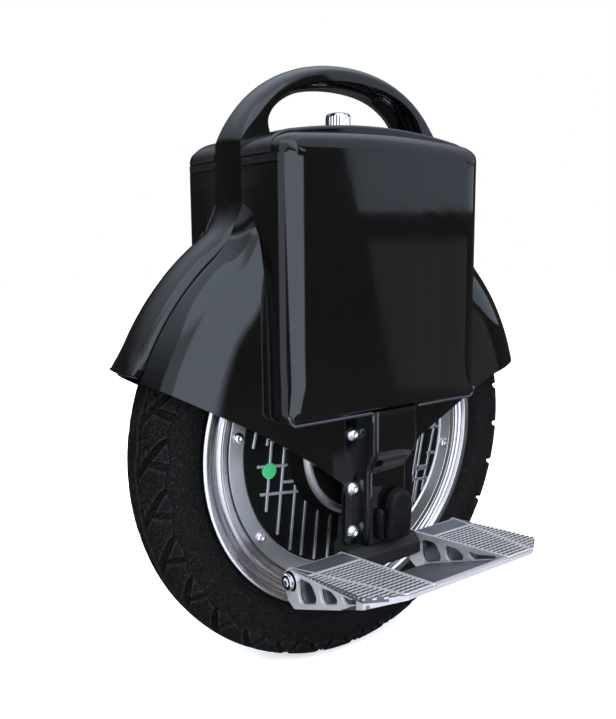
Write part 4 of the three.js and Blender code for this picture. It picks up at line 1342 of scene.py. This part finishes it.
def pedal_floor():
    outline = fillet([
        (-83.2, 66), (-83.2, CORNER_Y), (-CORNER_X, 149.5), (CORNER_X, 149.5), (83.2, CORNER_Y), (83.2, 66),
        (39, 66), (36.5, 68.5), (-36.5, 68.5), (-39, 66),
    ], [2, 3, 3, 3, 3, 2, 1, 2, 2, 1], 3)
    return plan_plate(outline, lambda y: pedal_foot(y) + 0.1, lambda y: pedal_foot(y) + 3.0)


def pedal_frame():
    """The four cheeks, the rail round their outer ends and the hinge's two barrels."""
    shape = Shape()
    for x0, x1 in CHEEKS:
        outer = np.sign(x0) * (abs(x0 + x1) > PEDAL_HALF)

        def drawn_in(x, y, z):
            return (x - outer * 24 * max(0, min(1, (y - 133.5) / 16)), y, z)

        shape.join(reshaped(cheek(x0, x1), drawn_in))
    edge, wide = CORNER_Y - 0.4, CORNER_X + 0.4
    inner_edge, inner_wide = CORNER_Y - 2, CORNER_X - 2
    rail = fillet([
        (-83.6, 126), (-83.6, edge), (-wide, 150), (wide, 150), (83.6, edge), (83.6, 126), (79.5, 126),
        (79.5, inner_edge), (inner_wide, 144.6), (-inner_wide, 144.6), (-79.5, inner_edge), (-79.5, 126),
    ], [1, 2, 3, 3, 2, 1, 1, 2, 2, 2, 2, 1], 3)
    shape.join(plan_plate(rail, lambda y: pedal_foot(y) + 0.15, lambda y: pedal_top(y) - 1.2))
    for x0, x1 in ((-PEDAL_HALF, -GAP_HALF), (GAP_HALF, PEDAL_HALF)):
        barrel = [(4.3, x0), (7.4, x0), (8.4, x0 + 0.9), (8.4, x1 - 0.9), (7.4, x1), (4.3, x1)]
        shape.join(lathe(barrel, 40, axis="x", centre=HINGE))
    return shape


def pocket_walls():
    """Thin webs that close the cheeks' windows from behind, dark grey as painted shade in the windows."""
    shape = Shape()
    outline = [(60.5, pedal_top(60.5) - 3.2), (124, pedal_top(124) - 3.2), (132.5, pedal_top(132.5) - 5),
               (132.5, pedal_foot(132.5) + 2.4), (62, pedal_foot(62) + 2.4)]
    inner, outer, web = GAP_HALF + CHEEK + 0.05, PEDAL_HALF - CHEEK - 0.05, 0.7
    for x0, x1 in ((inner, inner + web), (outer - web, outer)):
        shape.join(plate([outline], [(x0, 0), (x1, 0)], front_view))
        shape.join(plate([outline], [(-x1, 0), (-x0, 0)], front_view))
    return shape


def tread_strip(x0, x1):
    """The plain strip beside the hinge."""
    outline = fillet([(x0, 54.5), (x1, 54.5), (x1, 73.8), (x0, 73.8)], 1.0, 2)
    return plan_plate(outline, lambda y: pedal_top(y) - 1.2, lambda y: pedal_top(y) - 0.02)


HINGE_PIN = [(-83, 3.6, 0), (-82.6, 4.0, 0), (83.8, 4.0, 0), (84.2, 4.0, 0), (84.2, 5.8, 0), (84.6, 6.0, 0),
             (87.2, 6.0, 0), (87.9, 5.3, 0), (87.9, 3.3, 6), (85.6, 3.1, 6)]
for side in SIDES:
    side_piece(side, "pedal_frame", pedal_frame(), "cast_pedal", "pedal", "cast_pedal", "pedal", sharp=32)
    # the floor is darker than the frame, painted shade between the pads
    side_piece(side, "pedal_floor", pedal_floor(), "shade_painted_casting", "pedal", "cast_pedal", "pedal", sharp=32)
    # the webs' dark grey is painted shade inside the cheeks' windows
    side_piece(side, "pedal_webs", pocket_walls(), "lip_highlight_web_shade", "pedal", "cast_pedal", "pedal")
    near, far = GAP_HALF + 0.2, PEDAL_HALF - 0.2
    for end, x0, x1 in (("front", near, far), ("rear", -far, -near)):
        side_piece(side, f"tread_{end}", tread_pad(x0, x1), "ridged_tread", "pedal", "cast_pedal", "pedal",
                   sharp=28, flat_faces=False)
        side_piece(side, f"tread_strip_{end}", tread_strip(x0 + 0.6, x1 - 0.6), "shade_painted_casting", "pedal",
                   "cast_pedal", "pedal")
    side_piece(side, "pin", polar_loft(HINGE_PIN, "x", HINGE), "chrome_trim", "pedal", "chrome_trim",
               "hinge_pin")


# ---- solids shown as they are
for entry in frame["record"]["subparts"]:
    node = frame["nodes"].get(entry["node"])
    if node is None:
        continue
    # leg brackets take the black finish in place of their own slot's, which draws them dark
    finish = "black_plastic" if "bracket" in entry["node"] else entry["material_slot"]
    node.data.materials.clear()
    node.data.materials.append(FINISH[finish])
